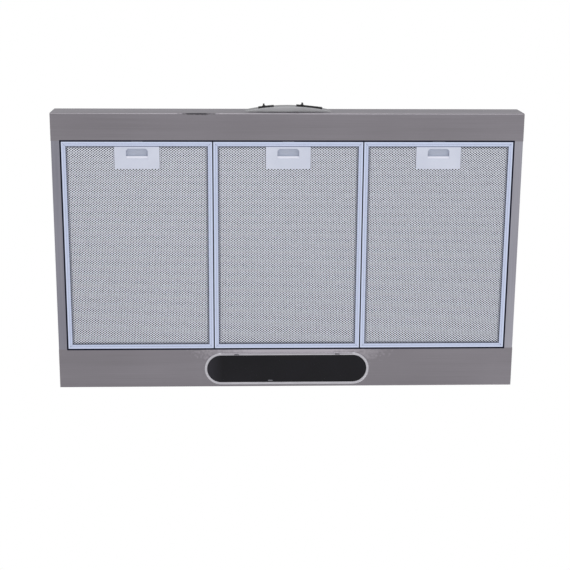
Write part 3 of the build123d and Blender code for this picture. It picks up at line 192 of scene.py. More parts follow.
def place_on(material, stretch=(1, 1, 1)):
    """The object's coordinates, in metres, stretched along each axis."""
    nodes = material.node_tree.nodes
    coordinates = nodes.new("ShaderNodeTexCoord")
    mapping = nodes.new("ShaderNodeMapping")
    mapping.inputs["Scale"].default_value = stretch
    material.node_tree.links.new(coordinates.outputs["Object"], mapping.inputs["Vector"])
    return mapping.outputs["Vector"]


def place_parts(material):
    """The object's coordinates as three separate numbers."""
    split = material.node_tree.nodes.new("ShaderNodeSeparateXYZ")
    material.node_tree.links.new(place_on(material), split.inputs["Vector"])
    return split.outputs


def noise(material, vector, scale, detail=3):
    """Cloudy noise between 0 and 1."""
    texture = material.node_tree.nodes.new("ShaderNodeTexNoise")
    texture.inputs["Scale"].default_value = scale
    texture.inputs["Detail"].default_value = detail
    material.node_tree.links.new(vector, texture.inputs["Vector"])
    return texture.outputs["Fac"]


def cells(material, scale):
    """The distance to the nearest of many scattered points, which draws cells."""
    texture = material.node_tree.nodes.new("ShaderNodeTexVoronoi")
    texture.inputs["Scale"].default_value = scale
    material.node_tree.links.new(place_on(material), texture.inputs["Vector"])
    return texture.outputs["Distance"]


# %% [markdown]
# A pattern is only a value at each point. The next helpers turn values into other values.
# Noise rarely leaves the middle of its range, so that part is stretched before it drives
# anything. A distance becomes a share that is full up close and fades away.

# %% Helpers: values
NOISE_LOW = 0.3
NOISE_HIGH = 0.7


def spread(material, value, low, high, to_low, to_high):
    """Stretches a value from one range to another."""
    node = material.node_tree.nodes.new("ShaderNodeMapRange")
    for socket, number in (
        ("From Min", low),
        ("From Max", high),
        ("To Min", to_low),
        ("To Max", to_high),
    ):
        node.inputs[socket].default_value = number
    material.node_tree.links.new(value, node.inputs["Value"])
    return node.outputs["Result"]


def from_noise(material, value, to_low, to_high):
    """Stretches the part of its range where noise mostly lies."""
    return spread(material, value, NOISE_LOW, NOISE_HIGH, to_low, to_high)


def within(material, distance, full, gone, most=1.0):
    """As much as told up to one distance, fading to nothing at another."""
    return spread(material, distance, full, gone, most, 0)


def combine(material, first, second, operation="ADD"):
    """One number from two, by a sum unless told otherwise."""
    node = material.node_tree.nodes.new("ShaderNodeMath")
    node.operation = operation
    for socket, value in zip(node.inputs, (first, second)):
        if isinstance(value, (int, float)):
            socket.default_value = value
        else:
            material.node_tree.links.new(value, socket)
    return node.outputs[0]


# %% [markdown]
# A value becomes a colour by a ramp, and a share lays one colour over another. The result is
# joined to the main shader, and a height becomes a bump of its surface.

# %% Helpers: colours and the shader


def ramp(material, value, *stops):
    """Colours along a value; each stop is a place and a colour."""
    node = material.node_tree.nodes.new("ShaderNodeValToRGB")
    elements = node.color_ramp.elements
    while len(elements) < len(stops):
        elements.new(0.5)
    for element, (place, colour) in zip(elements, stops):
        element.position = place
        element.color = colour
    material.node_tree.links.new(value, node.inputs["Fac"])
    return node.outputs["Color"]


def two_tones(material, value, first, second):
    """From one colour to another by noise."""
    return ramp(material, value, (NOISE_LOW, first), (NOISE_HIGH, second))


def blend_colours(material, share, first, second):
    """The first colour where the share is 0 and the second where it is 1."""
    mix = material.node_tree.nodes.new("ShaderNodeMix")
    mix.data_type = "RGBA"
    colours = [socket for socket in mix.inputs if socket.type == "RGBA"]
    for socket, colour in zip(colours, (first, second)):
        if isinstance(colour, tuple):
            socket.default_value = colour
        else:
            material.node_tree.links.new(colour, socket)
    material.node_tree.links.new(share, mix.inputs["Factor"])
    return [socket for socket in mix.outputs if socket.type == "RGBA"][0]


def feed(material, value, socket):
    """Joins a value or a colour to a socket of the main shader."""
    shader = material.node_tree.nodes["Principled BSDF"]
    material.node_tree.links.new(value, shader.inputs[socket])


def bump(material, height, depth, strength=1.0):
    """A bump of so many metres on the main shader."""
    node = material.node_tree.nodes.new("ShaderNodeBump")
    node.inputs["Distance"].default_value = depth
    node.inputs["Strength"].default_value = strength
    material.node_tree.links.new(height, node.inputs["Height"])
    feed(material, node.outputs["Normal"], "Normal")


# %% [markdown]
# Dirt, wear, printing and painted light and shade sit in certain places, so they are painted by place. A
# patch fills a box with a colour that fades out past the sides. A smudge is an oval cloud with a ragged
# border, as grease and scuffs have; here smudges carry painted shade and painted reflections.
# Both need only the coordinates of a point and arithmetic.

# %% Helpers: marks in a place
RAG_SCALE = 160
RAG_DEPTH = 0.15
SMUDGE_CORE = 0.45


def depth_inside(material, low, high, axes=(0, 1)):
    """How far a point lies inside the sides of a box, in metres: for each axis, and the least."""
    place = place_parts(material)
    depths = []
    for axis in axes:
        offset = combine(material, place[axis], (low[axis] + high[axis]) / 2, "SUBTRACT")
        distance = combine(material, offset, 0, "ABSOLUTE")
        depths.append(combine(material, (high[axis] - low[axis]) / 2, distance, "SUBTRACT"))
    least = depths[0]
    for depth in depths[1:]:
        least = combine(material, least, depth, "MINIMUM")
    return depths, least


def patch(material, skin, low, high, fade, colour, most=1.0):
    """A colour laid over another inside a box, fading out past the box's sides."""
    _, depth = depth_inside(material, low, high, (0, 1, 2))
    return blend_colours(material, spread(material, depth, -fade, 0, 0, most), skin, colour)


def smudge(material, skin, middle, reach, colour, most):
    """A soft oval mark round a point, with a ragged border, that reaches so far along each axis."""
    vector = place_on(material)
    for operation, operand in (("SUBTRACT", middle), ("DIVIDE", reach)):
        step = material.node_tree.nodes.new("ShaderNodeVectorMath")
        step.operation = operation
        step.inputs[1].default_value = operand
        material.node_tree.links.new(vector, step.inputs[0])
        vector = step.outputs["Vector"]
    distance = material.node_tree.nodes.new("ShaderNodeVectorMath")
    distance.operation = "LENGTH"
    material.node_tree.links.new(vector, distance.inputs[0])
    cloud = noise(material, place_on(material), RAG_SCALE, 3)
    rag = from_noise(material, cloud, -RAG_DEPTH, RAG_DEPTH)
    ragged = combine(material, distance.outputs["Value"], rag)
    share = within(material, ragged, SMUDGE_CORE, 1.0, most)
    return blend_colours(material, share, skin, colour)


# %% [markdown]
# ## Where the filters lie
# Several finishes change along the outline of the filters: the painted shade of the gap round them, the
# mitres of their frames and the painted shade at the edge of their mesh. The outline of a frame is
# that of its mesh and the thin wall of the channel round it. The box of the frame itself
# would also hold the two hinge tongues that reach under the rear band.

# %% Outlines of the filters and of their opening
FRAME_SKIN = 0.8 * MM
FRAME_WIDTH = 9.2 * MM
FILTER_GAP = 1.4 * MM


def frame_outline(name):
    """Lowest and highest corner of a filter, without its hinge tongues."""
    low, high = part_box(name + "_mesh")
    return [place - FRAME_SKIN for place in low], [place + FRAME_SKIN for place in high]


filter_names = sorted(name.removesuffix("_frame") for name in frame["nodes"] if name.endswith("_frame"))
outlines = {name: frame_outline(name) for name in filter_names}
opening_low = [place - FILTER_GAP for place in outlines[filter_names[0]][0]]
opening_high = [place + FILTER_GAP for place in outlines[filter_names[-1]][1]]
print("filters:", filter_names, "opening:", opening_low[:2], opening_high[:2])

# %% [markdown]
# ## Brushed steel
# The sheet is brushed in the mill, in long fine scratches along one direction. On the front
# and rear bands they run from side to side, and on the side bands from front to back. Each
# band also has its own pair of tones, the side bands lighter and the right one lightest, which
# is painted light for how the light falls on each band. Noise that is stretched far along the grain
# gives the scratches, and a wide soft noise gives the slight unevenness of a real sheet.
# A painted shade darkens the folded edge round the filters, where the gap lies in shade.

# %% Brushed steel
EDGE_TINT = (0.62, 0.62, 0.64, 1)
GAP_SHADE = tone(18, 22, 46)
SHADE_AND_REFLECTION_GREY = tone(62, 60, 64)
GAP_SHADE_REACH = 1.5 * MM
GAP_SHADE_FULL = 0.9 * MM
SCRATCHES_PER_METRE = (5, 900)
STREAKS_PER_METRE = (1.2, 45)
CLOUDS_PER_METRE = 4.5


def with_grain(along, numbers):
    """The stretch of a pattern with few details along X or Y and many across it."""
    few, many = numbers
    return (few, many, many) if along == "X" else (many, few, many)


def brushed_steel(name, along, dark, light, marks=()):
    """Brushed sheet whose grain runs along X or Y, with marks, and a painted shade along the filter opening.
    """
    material, shader = new_finish(name, 1.0, 0.36)
    shader.inputs["Specular Tint"].default_value = EDGE_TINT
    scratches = noise(material, place_on(material, with_grain(along, SCRATCHES_PER_METRE)), 1.0, 4)
    streaks = noise(material, place_on(material, with_grain(along, STREAKS_PER_METRE)), 1.0, 3)
    clouds = noise(material, place_on(material), CLOUDS_PER_METRE, 2)
    grain = combine(material, from_noise(material, scratches, 0, 0.5), streaks)
    lines = spread(material, grain, NOISE_LOW, 0.5 + NOISE_HIGH, 0, 0.7)
    unevenness = from_noise(material, clouds, 0, 0.3)
    skin = ramp(material, combine(material, lines, unevenness), (0.15, dark), (0.85, light))
    for middle, reach, colour, most in marks:
        skin = smudge(material, skin, middle, reach, colour, most)
    # Painted shade: the folded edge round the filter opening is darkened where the gap lies in shade.
    _, depth = depth_inside(material, opening_low, opening_high, (0, 1, 2))
    in_gap = spread(material, depth, -GAP_SHADE_REACH, -GAP_SHADE_FULL, 0, 1)
    feed(material, blend_colours(material, in_gap, skin, GAP_SHADE), "Base Color")
    feed(material, from_noise(material, scratches, 0.30, 0.44), "Roughness")
    bump(material, scratches, 0.03 * MM, 0.5)
    return material


# %% [markdown]
# The front and rear panels have marks of their own, all painted light: a painted shade in the
# corner under the fascia, a painted dark reflection on the lower bend over a hand's width, and a
# painted pale reflection on the strip between the lamp and the filters.

# %% The five steel panels
fascia_low, fascia_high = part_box("control_fascia")
ring_low, ring_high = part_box("lamp_bezel")
front_y = fascia_high[1]
under_z = cad_box[0][2]
strip_y = (opening_high[1] + ring_low[1]) / 2
PAINTED_REFLECTION_TONE = tone(186, 181, 188)

# Painted shade in the corner under the fascia, and a painted dark reflection on the lower bend.
painted_shade_under_fascia = ((0, front_y, fascia_low[2] - 2 * MM), (100 * MM, 4 * MM, 10 * MM), SHADE_AND_REFLECTION_GREY, 0.8)
painted_reflection_on_bend = ((-172 * MM, front_y, under_z + 2 * MM), (44 * MM, 4 * MM, 6.5 * MM), SHADE_AND_REFLECTION_GREY, 1.0)
# Painted reflection: the strip between the lamp and the filters is painted paler.
painted_reflection_strip = ((5 * MM, strip_y, under_z), (200 * MM, 40 * MM, 12 * MM), PAINTED_REFLECTION_TONE, 1.0)
front_marks = [painted_shade_under_fascia, painted_reflection_on_bend]
rear_marks = [painted_reflection_strip]

# The panels' tones differ as painted light: the side bands are painted lighter than the front and rear
# bands, the right one lightest.
steel_finishes = {
    "front_panel": brushed_steel("steel_front", "X", tone(132, 128, 133), tone(147, 143, 149), front_marks),
    "back_panel": brushed_steel("steel_rear", "X", tone(129, 125, 130), tone(144, 140, 146), rear_marks),
    "left_panel": brushed_steel("steel_left", "Y", tone(134, 133, 143), tone(160, 159, 169)),
    "right_panel": brushed_steel("steel_right", "Y", tone(150, 149, 158), tone(174, 173, 182)),
    "top_panel": brushed_steel("steel_top", "X", tone(134, 131, 136), tone(152, 149, 155)),
}
print("brushed steel for", sorted(steel_finishes))

# %% [markdown]
# ## Aluminium of the filters
# The cassettes are rolled aluminium with a pale blue anodised skin. Each frame is a channel
# cut at 45 degrees in the corners, and the thin dark line of that mitre shows. The distance
# to the frame's two outer edges is the same on a mitre, so the line is drawn there. The
# channel also has a rolled groove, drawn as a faint line of painted shade, a painted shade along
# its lip over the mesh, and a painted shade on its outer walls, in the gap round the filter, that
# gets thinner upwards.

# %% Frame aluminium
OUTER_STRIP = 2.4 * MM
GROOVE_IN = 4.4 * MM
LIP_IN = 8.2 * MM
FULL_SHADE_HEIGHT = 2 * MM
HALF_SHADE_HEIGHT = 5 * MM
LIP_SHADE = tone(64, 70, 104)


def frame_aluminium(name, low, high):
    """Anodised channel with dark mitres, a painted shade line for its groove, and painted shade along its
    two edges.
    """
    material, _ = new_finish(name, 0.85, 0.34)
    (across, along), inset = depth_inside(material, low, high)
    drawn = noise(material, place_on(material, (60, 60, 400)), 6, 3)
    skin = two_tones(material, drawn, tone(200, 209, 234), tone(213, 222, 245))
    from_mitre = combine(material, combine(material, across, along, "SUBTRACT"), 0, "ABSOLUTE")
    mitre = within(material, from_mitre, 0.15 * MM, 0.5 * MM, 0.75)
    skin = blend_colours(material, mitre, skin, tone(92, 98, 132))
    outer_strip = within(material, inset, OUTER_STRIP, OUTER_STRIP + 0.8 * MM)
    skin = blend_colours(material, outer_strip, skin, tone(218, 227, 251))
    # Painted shade: a darker line along the rolled groove.
    from_groove = combine(material, combine(material, inset, GROOVE_IN, "SUBTRACT"), 0, "ABSOLUTE")
    groove_shade = within(material, from_groove, 0.3 * MM, 0.9 * MM, 0.3)
    skin = blend_colours(material, groove_shade, skin, tone(150, 158, 190))
    # Painted shade on the outer walls, in the gap round the filter, strongest near the underside.
    edge = within(material, inset, 0.3 * MM, 0.8 * MM)
    full_shade_z, half_shade_z = low[2] + FULL_SHADE_HEIGHT, low[2] + HALF_SHADE_HEIGHT
    near_underside = spread(material, place_parts(material)["Z"], full_shade_z, half_shade_z, 1, 0.5)
    wall_shade = combine(material, edge, near_underside, "MULTIPLY")
    skin = blend_colours(material, wall_shade, skin, GAP_SHADE)
    # Painted shade along the lip, where the frame shades the mesh.
    lip_shade = spread(material, inset, LIP_IN, LIP_IN + 0.7 * MM, 0, 0.85)
    skin = blend_colours(material, lip_shade, skin, LIP_SHADE)
    feed(material, skin, "Base Color")
    bump(material, drawn, 0.04 * MM, 0.4)
    return material


frame_finishes = {}
for name in filter_names:
    frame_finishes[name + "_frame"] = frame_aluminium(name + "_anodised", *outlines[name])
print("frame finishes:", len(frame_finishes))

# %% [markdown]
# The expanded mesh is the same metal, slit and stretched, and each strand is scratched by the
# tool. Its strands lean and throw the light every way, so the finish is pale with only a
# little of a metal's mirror, and a painted shade darkens it beside the frame, where the frame's lip
# shades it. The pleated foil inside is painted nearly black with small spots of grey, a painted
# shade for the dark it lies in.

# %% Mesh and foil aluminium
EDGE_SHADE_FROM = 1.2 * MM
EDGE_SHADE_TO = 5 * MM


def strand_aluminium(name, low, high):
    """Expanded metal with a painted shade along its frame."""
    material, _ = new_finish(name, 0.3, 0.36)
    tool_marks = noise(material, place_on(material), 900, 2)
    skin = two_tones(material, tool_marks, tone(232, 236, 250), tone(246, 249, 255))
    _, inset = depth_inside(material, low, high)
    # Painted shade: the mesh is darkened just inside the frame's lip, where the lip shades it.
    edge_shade = within(material, inset, FRAME_WIDTH + EDGE_SHADE_FROM, FRAME_WIDTH + EDGE_SHADE_TO, 0.62)
    skin = blend_colours(material, edge_shade, skin, tone(84, 90, 116))
    feed(material, skin, "Base Color")
    bump(material, tool_marks, 0.1 * MM, 0.4)
    return material


mesh_finishes = {name: strand_aluminium(name + "_strands", *outlines[name]) for name in filter_names}

# Painted shade: the aluminium foil is painted nearly black, for the dark inside the cassette.
foil_painted_shade, _ = new_finish("foil_painted_shade", 0.6, 0.55)
foil_cells = cells(foil_painted_shade, 420)
foil_skin = ramp(foil_painted_shade, foil_cells, (0.1, tone(70, 73, 80)), (0.7, tone(26, 28, 34)))
feed(foil_painted_shade, foil_skin, "Base Color")
bump(foil_painted_shade, foil_cells, 0.6 * MM, 0.8)
print("mesh and foil finishes:", len(mesh_finishes) + 1)

# %% [markdown]
# ## Plastics, paint, glass and rubber
# Moulded plastic is never one flat colour: it has a fine grain from the mould, and faint
# flow marks. One function makes all of them from two colours, the gloss, and the size and
# depth of the grain. Enamel and rubber differ only in those, and silver paint and cast metal
# also in how metallic they are.

# %% Moulded and painted finishes


def moulded(name, dark, light, roughness, grain=900, depth=0.05 * MM, metallic=0.0, patches=()):
    """Plastic, rubber or paint with a fine grain, slow changes of shade and patches of colour."""
    material, _ = new_finish(name, metallic, roughness)
    fine = noise(material, place_on(material), grain, 3)
    flow = noise(material, place_on(material), 14, 2)
    specks = from_noise(material, fine, 0, 0.35)
    marks = from_noise(material, flow, 0, 0.65)
    skin = ramp(material, combine(material, specks, marks), (0.1, dark), (0.9, light))
    for low, high, fade, colour in patches:
        skin = patch(material, skin, low, high, fade, colour)
    feed(material, skin, "Base Color")
    smoother, rougher = roughness * 0.85, min(roughness * 1.15, 1)
    feed(material, spread(material, fine, 0.2, 0.8, smoother, rougher), "Roughness")
    bump(material, fine, depth, 0.5)
    return material


black_plastic = moulded("black_plastic", tone(20, 20, 22), tone(34, 34, 37), 0.45)
duct_plastic = moulded("duct_plastic", tone(30, 31, 33), tone(48, 49, 52), 0.5, 500, 0.12 * MM)
white_enamel = moulded("white_enamel", tone(214, 214, 208), tone(232, 232, 226), 0.24, 260, 0.06 * MM)
holder_plastic = moulded("holder_plastic", tone(214, 211, 200), tone(228, 225, 214), 0.5)
scroll_plastic = moulded("scroll_plastic", tone(92, 93, 97), tone(110, 111, 116), 0.52, 420, 0.14 * MM)
wheel_plastic = moulded("wheel_plastic", tone(52, 53, 58), tone(66, 67, 72), 0.42, 500, 0.08 * MM)
soft_rubber = moulded("soft_rubber", tone(32, 32, 33), tone(46, 46, 47), 0.8, 1200, 0.1 * MM)
print("moulded and painted finishes made")

# %% [markdown]
# The catch plate is moulded too. Grease collects in the thin joint between it and the frame,
# and the lip of the latch, where fingers pull, carries a painted highlight that makes it paler than
# the cup behind it. Both places are the same on the three filters, so one finish each is enough.
# The fascia is painted silver, and its front carries a painted shade, a darker grey behind the two
# switches. Each patch is a box, from its lowest to its highest corner, the width of its soft
# border and its colour.

# %% Catch plate, latch and fascia
filters_low, filters_high = outlines[filter_names[0]][0], outlines[filter_names[-1]][1]
joint_y = filters_low[1] + FRAME_WIDTH
joint = (
    (filters_low[0], joint_y - 1 * MM, filters_low[2] - 1 * MM),
    (filters_high[0], joint_y + 0.5 * MM, filters_high[2]),
    0.5 * MM,
    tone(96, 102, 138),
)
catch_plastic = moulded("catch_plastic", tone(203, 208, 224), tone(216, 220, 234), 0.38, patches=[joint])
latch_low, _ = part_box(filter_names[0] + "_latch")
# Painted highlight: the lowest face of the latch is painted paler than the cup behind it.
latch_lip_highlight = (
    (filters_low[0], latch_low[1], latch_low[2] - 1 * MM),
    (filters_high[0], filters_high[1], latch_low[2] + 0.3 * MM),
    0.5 * MM,
    tone(236, 237, 248),
)
latch_plastic = moulded("latch_plastic", tone(184, 190, 206), tone(198, 204, 220), 0.42, patches=[latch_lip_highlight])
# Painted shade: the front of the fascia is painted a darker grey than its underside.
fascia_front_shade = (
    (fascia_low[0], fascia_low[1], fascia_low[2] + 1 * MM),
    (fascia_high[0], fascia_high[1], fascia_high[2]),
    0.8 * MM,
    tone(104, 104, 107),
)
fascia_paint = moulded(
    "fascia_silver_paint",
    tone(178, 178, 180),
    tone(200, 200, 202),
    0.4,
    grain=1600,
    depth=0.03 * MM,
    metallic=0.35,
    patches=[fascia_front_shade],
)
fascia_paint.node_tree.nodes["Principled BSDF"].inputs["Specular IOR Level"].default_value = 0.15
print("catch plate, latch and fascia finishes made")

# %% [markdown]
# ## Smoked lens
# The lamp cover is clear plastic dyed nearly black. It throws little light back, and a faint
# sheen at one end is a painted reflection, a lighter colour at that end. Its hinge knuckles are
# printed silver and its small finger tab grey, so the finish changes by place: at the painted sheen,
# along the hinge edge, and at the lowest part of the lens.

# %% Smoked lens
lens_low, lens_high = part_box("lamp_lens")
SILVER = tone(164, 160, 167)
PIN_STRIP = 2.6 * MM
TAB_DEPTH = 0.8 * MM
PAINTED_SHEEN_STRIP = 5 * MM
PAINTED_SHEEN_FADE = 25 * MM

lens_plastic, lens_shader = new_finish("smoked_lens", 0.0, 0.16)
lens_shader.inputs["Specular IOR Level"].default_value = 0.2
lens_flow = noise(lens_plastic, place_on(lens_plastic), 14, 2)
dyed = two_tones(lens_plastic, lens_flow, tone(12, 11, 16), tone(18, 17, 23))
# Painted reflection: a lighter sheen at one end of the lens.
painted_sheen_high = (lens_low[0] + PAINTED_SHEEN_STRIP, lens_high[1], lens_high[2])
dyed = patch(lens_plastic, dyed, lens_low, painted_sheen_high, PAINTED_SHEEN_FADE, tone(44, 43, 50), 0.7)
knuckles_low = (lens_low[0], lens_low[1] - PIN_STRIP, lens_low[2] - PIN_STRIP)
knuckles_high = (lens_high[0], lens_low[1] + PIN_STRIP, lens_high[2])
dyed = patch(lens_plastic, dyed, knuckles_low, knuckles_high, 0.2 * MM, SILVER)
tab_low = (lens_low[0], lens_low[1], lens_low[2] - TAB_DEPTH)
tab_high = (lens_high[0], lens_high[1], lens_low[2] + TAB_DEPTH)
dyed = patch(lens_plastic, dyed, tab_low, tab_high, 0.1 * MM, tone(110, 109, 116))
feed(lens_plastic, dyed, "Base Color")
bump(lens_plastic, lens_flow, 0.02 * MM, 0.3)
print("lens finish made")

# %% [markdown]
# ## Bare metals of the inner parts
# Zinc plating breaks up into large faint crystals, and cast aluminium has a sandy skin. The
# cells and a coarse noise do these two. The ring round the lens is bright drawn metal, worn
# in long soft streaks, and duller on the side where the lens is hinged.

# %% Plated, cast and bright metals
HINGE_HALF = 130 * MM


def plated_steel(name, dark, light, roughness, cells_per_metre=90):
    """Plated steel with faint crystals."""
    material, _ = new_finish(name, 1.0, roughness)
    fine = noise(material, place_on(material), 700, 2)
    crystals = spread(material, cells(material, cells_per_metre), 0, 0.8, 0, 0.5)
    specks = spread(material, fine, 0, 1, 0, 0.5)
    skin = ramp(material, combine(material, crystals, specks), (0.2, dark), (0.8, light))
    feed(material, skin, "Base Color")
    bump(material, fine, 0.03 * MM, 0.4)
    return material


zinc_steel = plated_steel("zinc_plated_steel", tone(158, 160, 162), tone(186, 188, 188), 0.34)
bright_wire = plated_steel("bright_wire", tone(150, 150, 152), tone(186, 186, 190), 0.24, 300)
cast_aluminium = moulded("cast_aluminium", tone(150, 152, 154), tone(178, 180, 182), 0.5, 620, 0.2 * MM, 0.9)

bezel_metal, _ = new_finish("bezel_metal", 1.0, 0.2)
bezel_wear = noise(bezel_metal, place_on(bezel_metal, (30, 400, 400)), 1.5, 4)
bezel_skin = two_tones(bezel_metal, bezel_wear, tone(184, 182, 188), tone(206, 204, 210))
dull_low = (-HINGE_HALF, ring_low[1], ring_low[2])
dull_high = (HINGE_HALF, lens_low[1], ring_high[2])
bezel_skin = patch(bezel_metal, bezel_skin, dull_low, dull_high, 1 * MM, SILVER)
feed(bezel_metal, bezel_skin, "Base Color")
feed(bezel_metal, from_noise(bezel_metal, bezel_wear, 0.16, 0.28), "Roughness")
bump(bezel_metal, bezel_wear, 0.02 * MM, 0.3)
print("plated, cast and bright metals made")

# %% [markdown]
# The stator of the motor is a stack of thin steel sheets, which shows as fine level lines. A
# wave texture with its bands along Z draws them, a little shaken so that no two are alike.

# %% Stator sheets
stator_steel, _ = new_finish("stator_sheets", 0.9, 0.45)
sheets = stator_steel.node_tree.nodes.new("ShaderNodeTexWave")
sheets.bands_direction = "Z"
sheets.inputs["Scale"].default_value = 300
sheets.inputs["Distortion"].default_value = 0.4
stator_steel.node_tree.links.new(place_on(stator_steel), sheets.inputs["Vector"])
sheet_lines = sheets.outputs["Fac"]
stator_skin = ramp(stator_steel, sheet_lines, (0.1, tone(70, 70, 74)), (0.8, tone(132, 132, 136)))
feed(stator_steel, stator_skin, "Base Color")
bump(stator_steel, sheet_lines, 0.2 * MM, 0.6)
print("stator finish made")

# %% [markdown]
# ## Frosted glass of the bulbs
# A candle bulb behind a dark lens is frosted, so light scatters in it and the filament
# doesn't show. Some transmission with a rough surface does that without a second piece.

# %% Bulb glass
bulb_glass, bulb_shader = new_finish("frosted_glass", 0.0, 0.35)
bulb_shader.inputs["Transmission Weight"].default_value = 0.6
bulb_frost = noise(bulb_glass, place_on(bulb_glass), 500, 3)
bulb_skin = two_tones(bulb_glass, bulb_frost, tone(232, 230, 222), tone(250, 249, 244))
feed(bulb_glass, bulb_skin, "Base Color")
bump(bulb_glass, bulb_frost, 0.05 * MM, 0.4)
print("bulb glass made")

# %% [markdown]
# ## Give each CAD piece its finish
# The record that comes with the CAD model says what each piece is made of, in words called
# material slots. A table from slots to finishes dresses nearly all pieces at once. A second
# table names the exceptions: the steel panels, whose grain differs, the filter frames, whose
# mitres differ, and the three pieces of the duct, which are a rougher black.

# %% Dress the CAD pieces
finish_of_slot = {
    "brushed_steel": steel_finishes["top_panel"],
    "filter_aluminium": mesh_finishes[filter_names[0]],
    "mesh_aluminium": mesh_finishes[filter_names[0]],
    "catch_plastic": catch_plastic,
    "latch_plastic": latch_plastic,
    "spring_steel": bright_wire,
    "fascia_silver": fascia_paint,
    "black_plastic": black_plastic,
    "lens_dark": lens_plastic,
    "bezel_chrome": bezel_metal,
    "white_enamel": white_enamel,
    "bulb_glass": bulb_glass,
    "holder_plastic": holder_plastic,
    "scroll_plastic": scroll_plastic,
    "wheel_plastic": wheel_plastic,
    "zinc_steel": zinc_steel,
    "laminations": stator_steel,
    "cast_aluminium": cast_aluminium,
    "black_rubber": soft_rubber,
}
finish_of_node = {
    "outlet_collar": duct_plastic,
    "left_flap": duct_plastic,
    "right_flap": duct_plastic,
    **steel_finishes,
    **frame_finishes,
}
for part in frame["record"]["subparts"]:
    node = frame["nodes"][part["node"]]
    finish = finish_of_node.get(part["node"], finish_of_slot[part["material_slot"]])
    node.data.materials.clear()
    node.data.materials.append(finish)

# %% [markdown]
# ## One cell of expanded mesh
# Expanded metal is a sheet that was slit in staggered rows and pulled open, so it has
# diamond holes between strands that lean over. Nothing is cut away and nothing is woven.
# One diamond is enough to model: a four-cornered circle is stretched to the size of one
# cell, an inset makes its strands, and turning the inner face leans them. The inner face
# is then deleted to open the hole.

# %% Model one diamond cell
CELL_X = 6.0 * MM
CELL_Y = 4.5 * MM
STRAND = 0.58 * MM
STRAND_LEAN = radians(18)


def nothing_selected():
    """Leaves the next operator only what it is given."""
    bpy.ops.object.select_all(action="DESELECT")


def diamond_cell(name, size_x, size_y, strand, lean):
    """One diamond hole with its four leaning strands, around the origin."""
    nothing_selected()
    bpy.ops.mesh.primitive_circle_add(vertices=4, radius=0.5, fill_type="NGON")
    cell = bpy.context.object
    cell.name = name
    bpy.ops.object.mode_set(mode="EDIT")
    bpy.ops.transform.resize(value=(size_x, size_y, 1))
    bpy.ops.mesh.inset(thickness=strand, depth=0)
    bpy.ops.transform.rotate(value=lean, orient_axis="X", center_override=(0, 0, 0))
    bpy.ops.mesh.delete(type="FACE")
    bpy.ops.object.mode_set(mode="OBJECT")
    return cell


# %% [markdown]
# ## Small tools for all new pieces
# Five helpers are used again below. One repeats a piece with an array modifier and merges the
# vertices that meet. One selects faces by a test, one deletes those in a rectangle, and one
# gives a sheet its thickness. The last puts the place of a finished piece into its mesh.

# %% Helpers: repeat, choose, delete, thicken and settle
MERGE_REACH = 0.02 * MM


def repeat(piece, count, offset):
    """Applies one array modifier with a fixed step and merged neighbours."""
    array = piece.modifiers.new("repeat", "ARRAY")
    array.count = count
    array.use_relative_offset = False
    array.use_constant_offset = True
    array.constant_offset_displace = offset
    array.use_merge_vertices = True
    array.merge_threshold = MERGE_REACH
    bpy.ops.object.modifier_apply(modifier=array.name)


def choose_faces(piece, wanted):
    """Selects the faces that pass a test, in edit mode."""
    bpy.context.tool_settings.mesh_select_mode = (False, False, True)
    bpy.ops.mesh.select_all(action="DESELECT")
    bpy.ops.object.mode_set(mode="OBJECT")
    for face in piece.data.polygons:
        face.select = wanted(face)
    bpy.ops.object.mode_set(mode="EDIT")


def delete_faces_in(piece, low, high):
    """Deletes the faces whose middle lies inside a rectangle, seen from below."""

    def inside(face):
        x, y, _ = face.center
        return low[0] < x < high[0] and low[1] < y < high[1]

    bpy.ops.object.mode_set(mode="EDIT")
    choose_faces(piece, inside)
    bpy.ops.mesh.delete(type="FACE")
    bpy.ops.object.mode_set(mode="OBJECT")


def thicken(piece, thickness):
    """Gives a sheet its thickness, half of it to each side."""
    solid = piece.modifiers.new("thickness", "SOLIDIFY")
    solid.thickness = thickness
    solid.offset = 0
    bpy.ops.object.modifier_apply(modifier=solid.name)


def settle(piece, finish):
    """Puts the piece's place into its mesh, turns its faces outwards and gives it a finish."""
    bpy.ops.object.transform_apply(location=True, rotation=True, scale=True)
    bpy.ops.object.mode_set(mode="EDIT")
    bpy.ops.mesh.select_all(action="SELECT")
    bpy.ops.mesh.normals_make_consistent(inside=False)
    bpy.ops.object.mode_set(mode="OBJECT")
    piece.data.materials.clear()
    piece.data.materials.append(finish)


# %% [markdown]
# ## Repeat the cell into a sheet
# Three arrays do the rest: the first adds the staggered neighbour, the second and third
# repeat the pair along and across the frame. Vertices that meet are merged, so the strands
# join as they do in the real sheet. Then the faces where the catch plate sits are deleted,
# and the metal gets its thickness.

# %% Helper: a sheet of expanded mesh
SPARE_CELLS = 1.2


def expanded_sheet(name, window, height, times, thickness, holes, finish):
    """Expanded mesh, so many times as coarse as the fine one, that fills a window but for holes."""
    cell_x, cell_y = times * CELL_X, times * CELL_Y
    sheet = diamond_cell(name, cell_x, cell_y, times * STRAND, STRAND_LEAN)
    (x0, y0), (x1, y1) = window
    count_x = int((x1 - x0) / cell_x + SPARE_CELLS)
    count_y = int((y1 - y0) / cell_y + SPARE_CELLS)
    repeat(sheet, 2, (cell_x / 2, cell_y / 2, 0))
    repeat(sheet, count_x, (cell_x, 0, 0))
    repeat(sheet, count_y, (0, cell_y, 0))
    sheet.location = (
        (x0 + x1) / 2 - (count_x - 0.5) * cell_x / 2,
        (y0 + y1) / 2 - (count_y - 0.5) * cell_y / 2,
        height,
    )
    bpy.ops.object.transform_apply(location=True, rotation=False, scale=False)
    for low, high in holes:
        delete_faces_in(sheet, low, high)
    thicken(sheet, thickness)
    settle(sheet, finish)
    return sheet


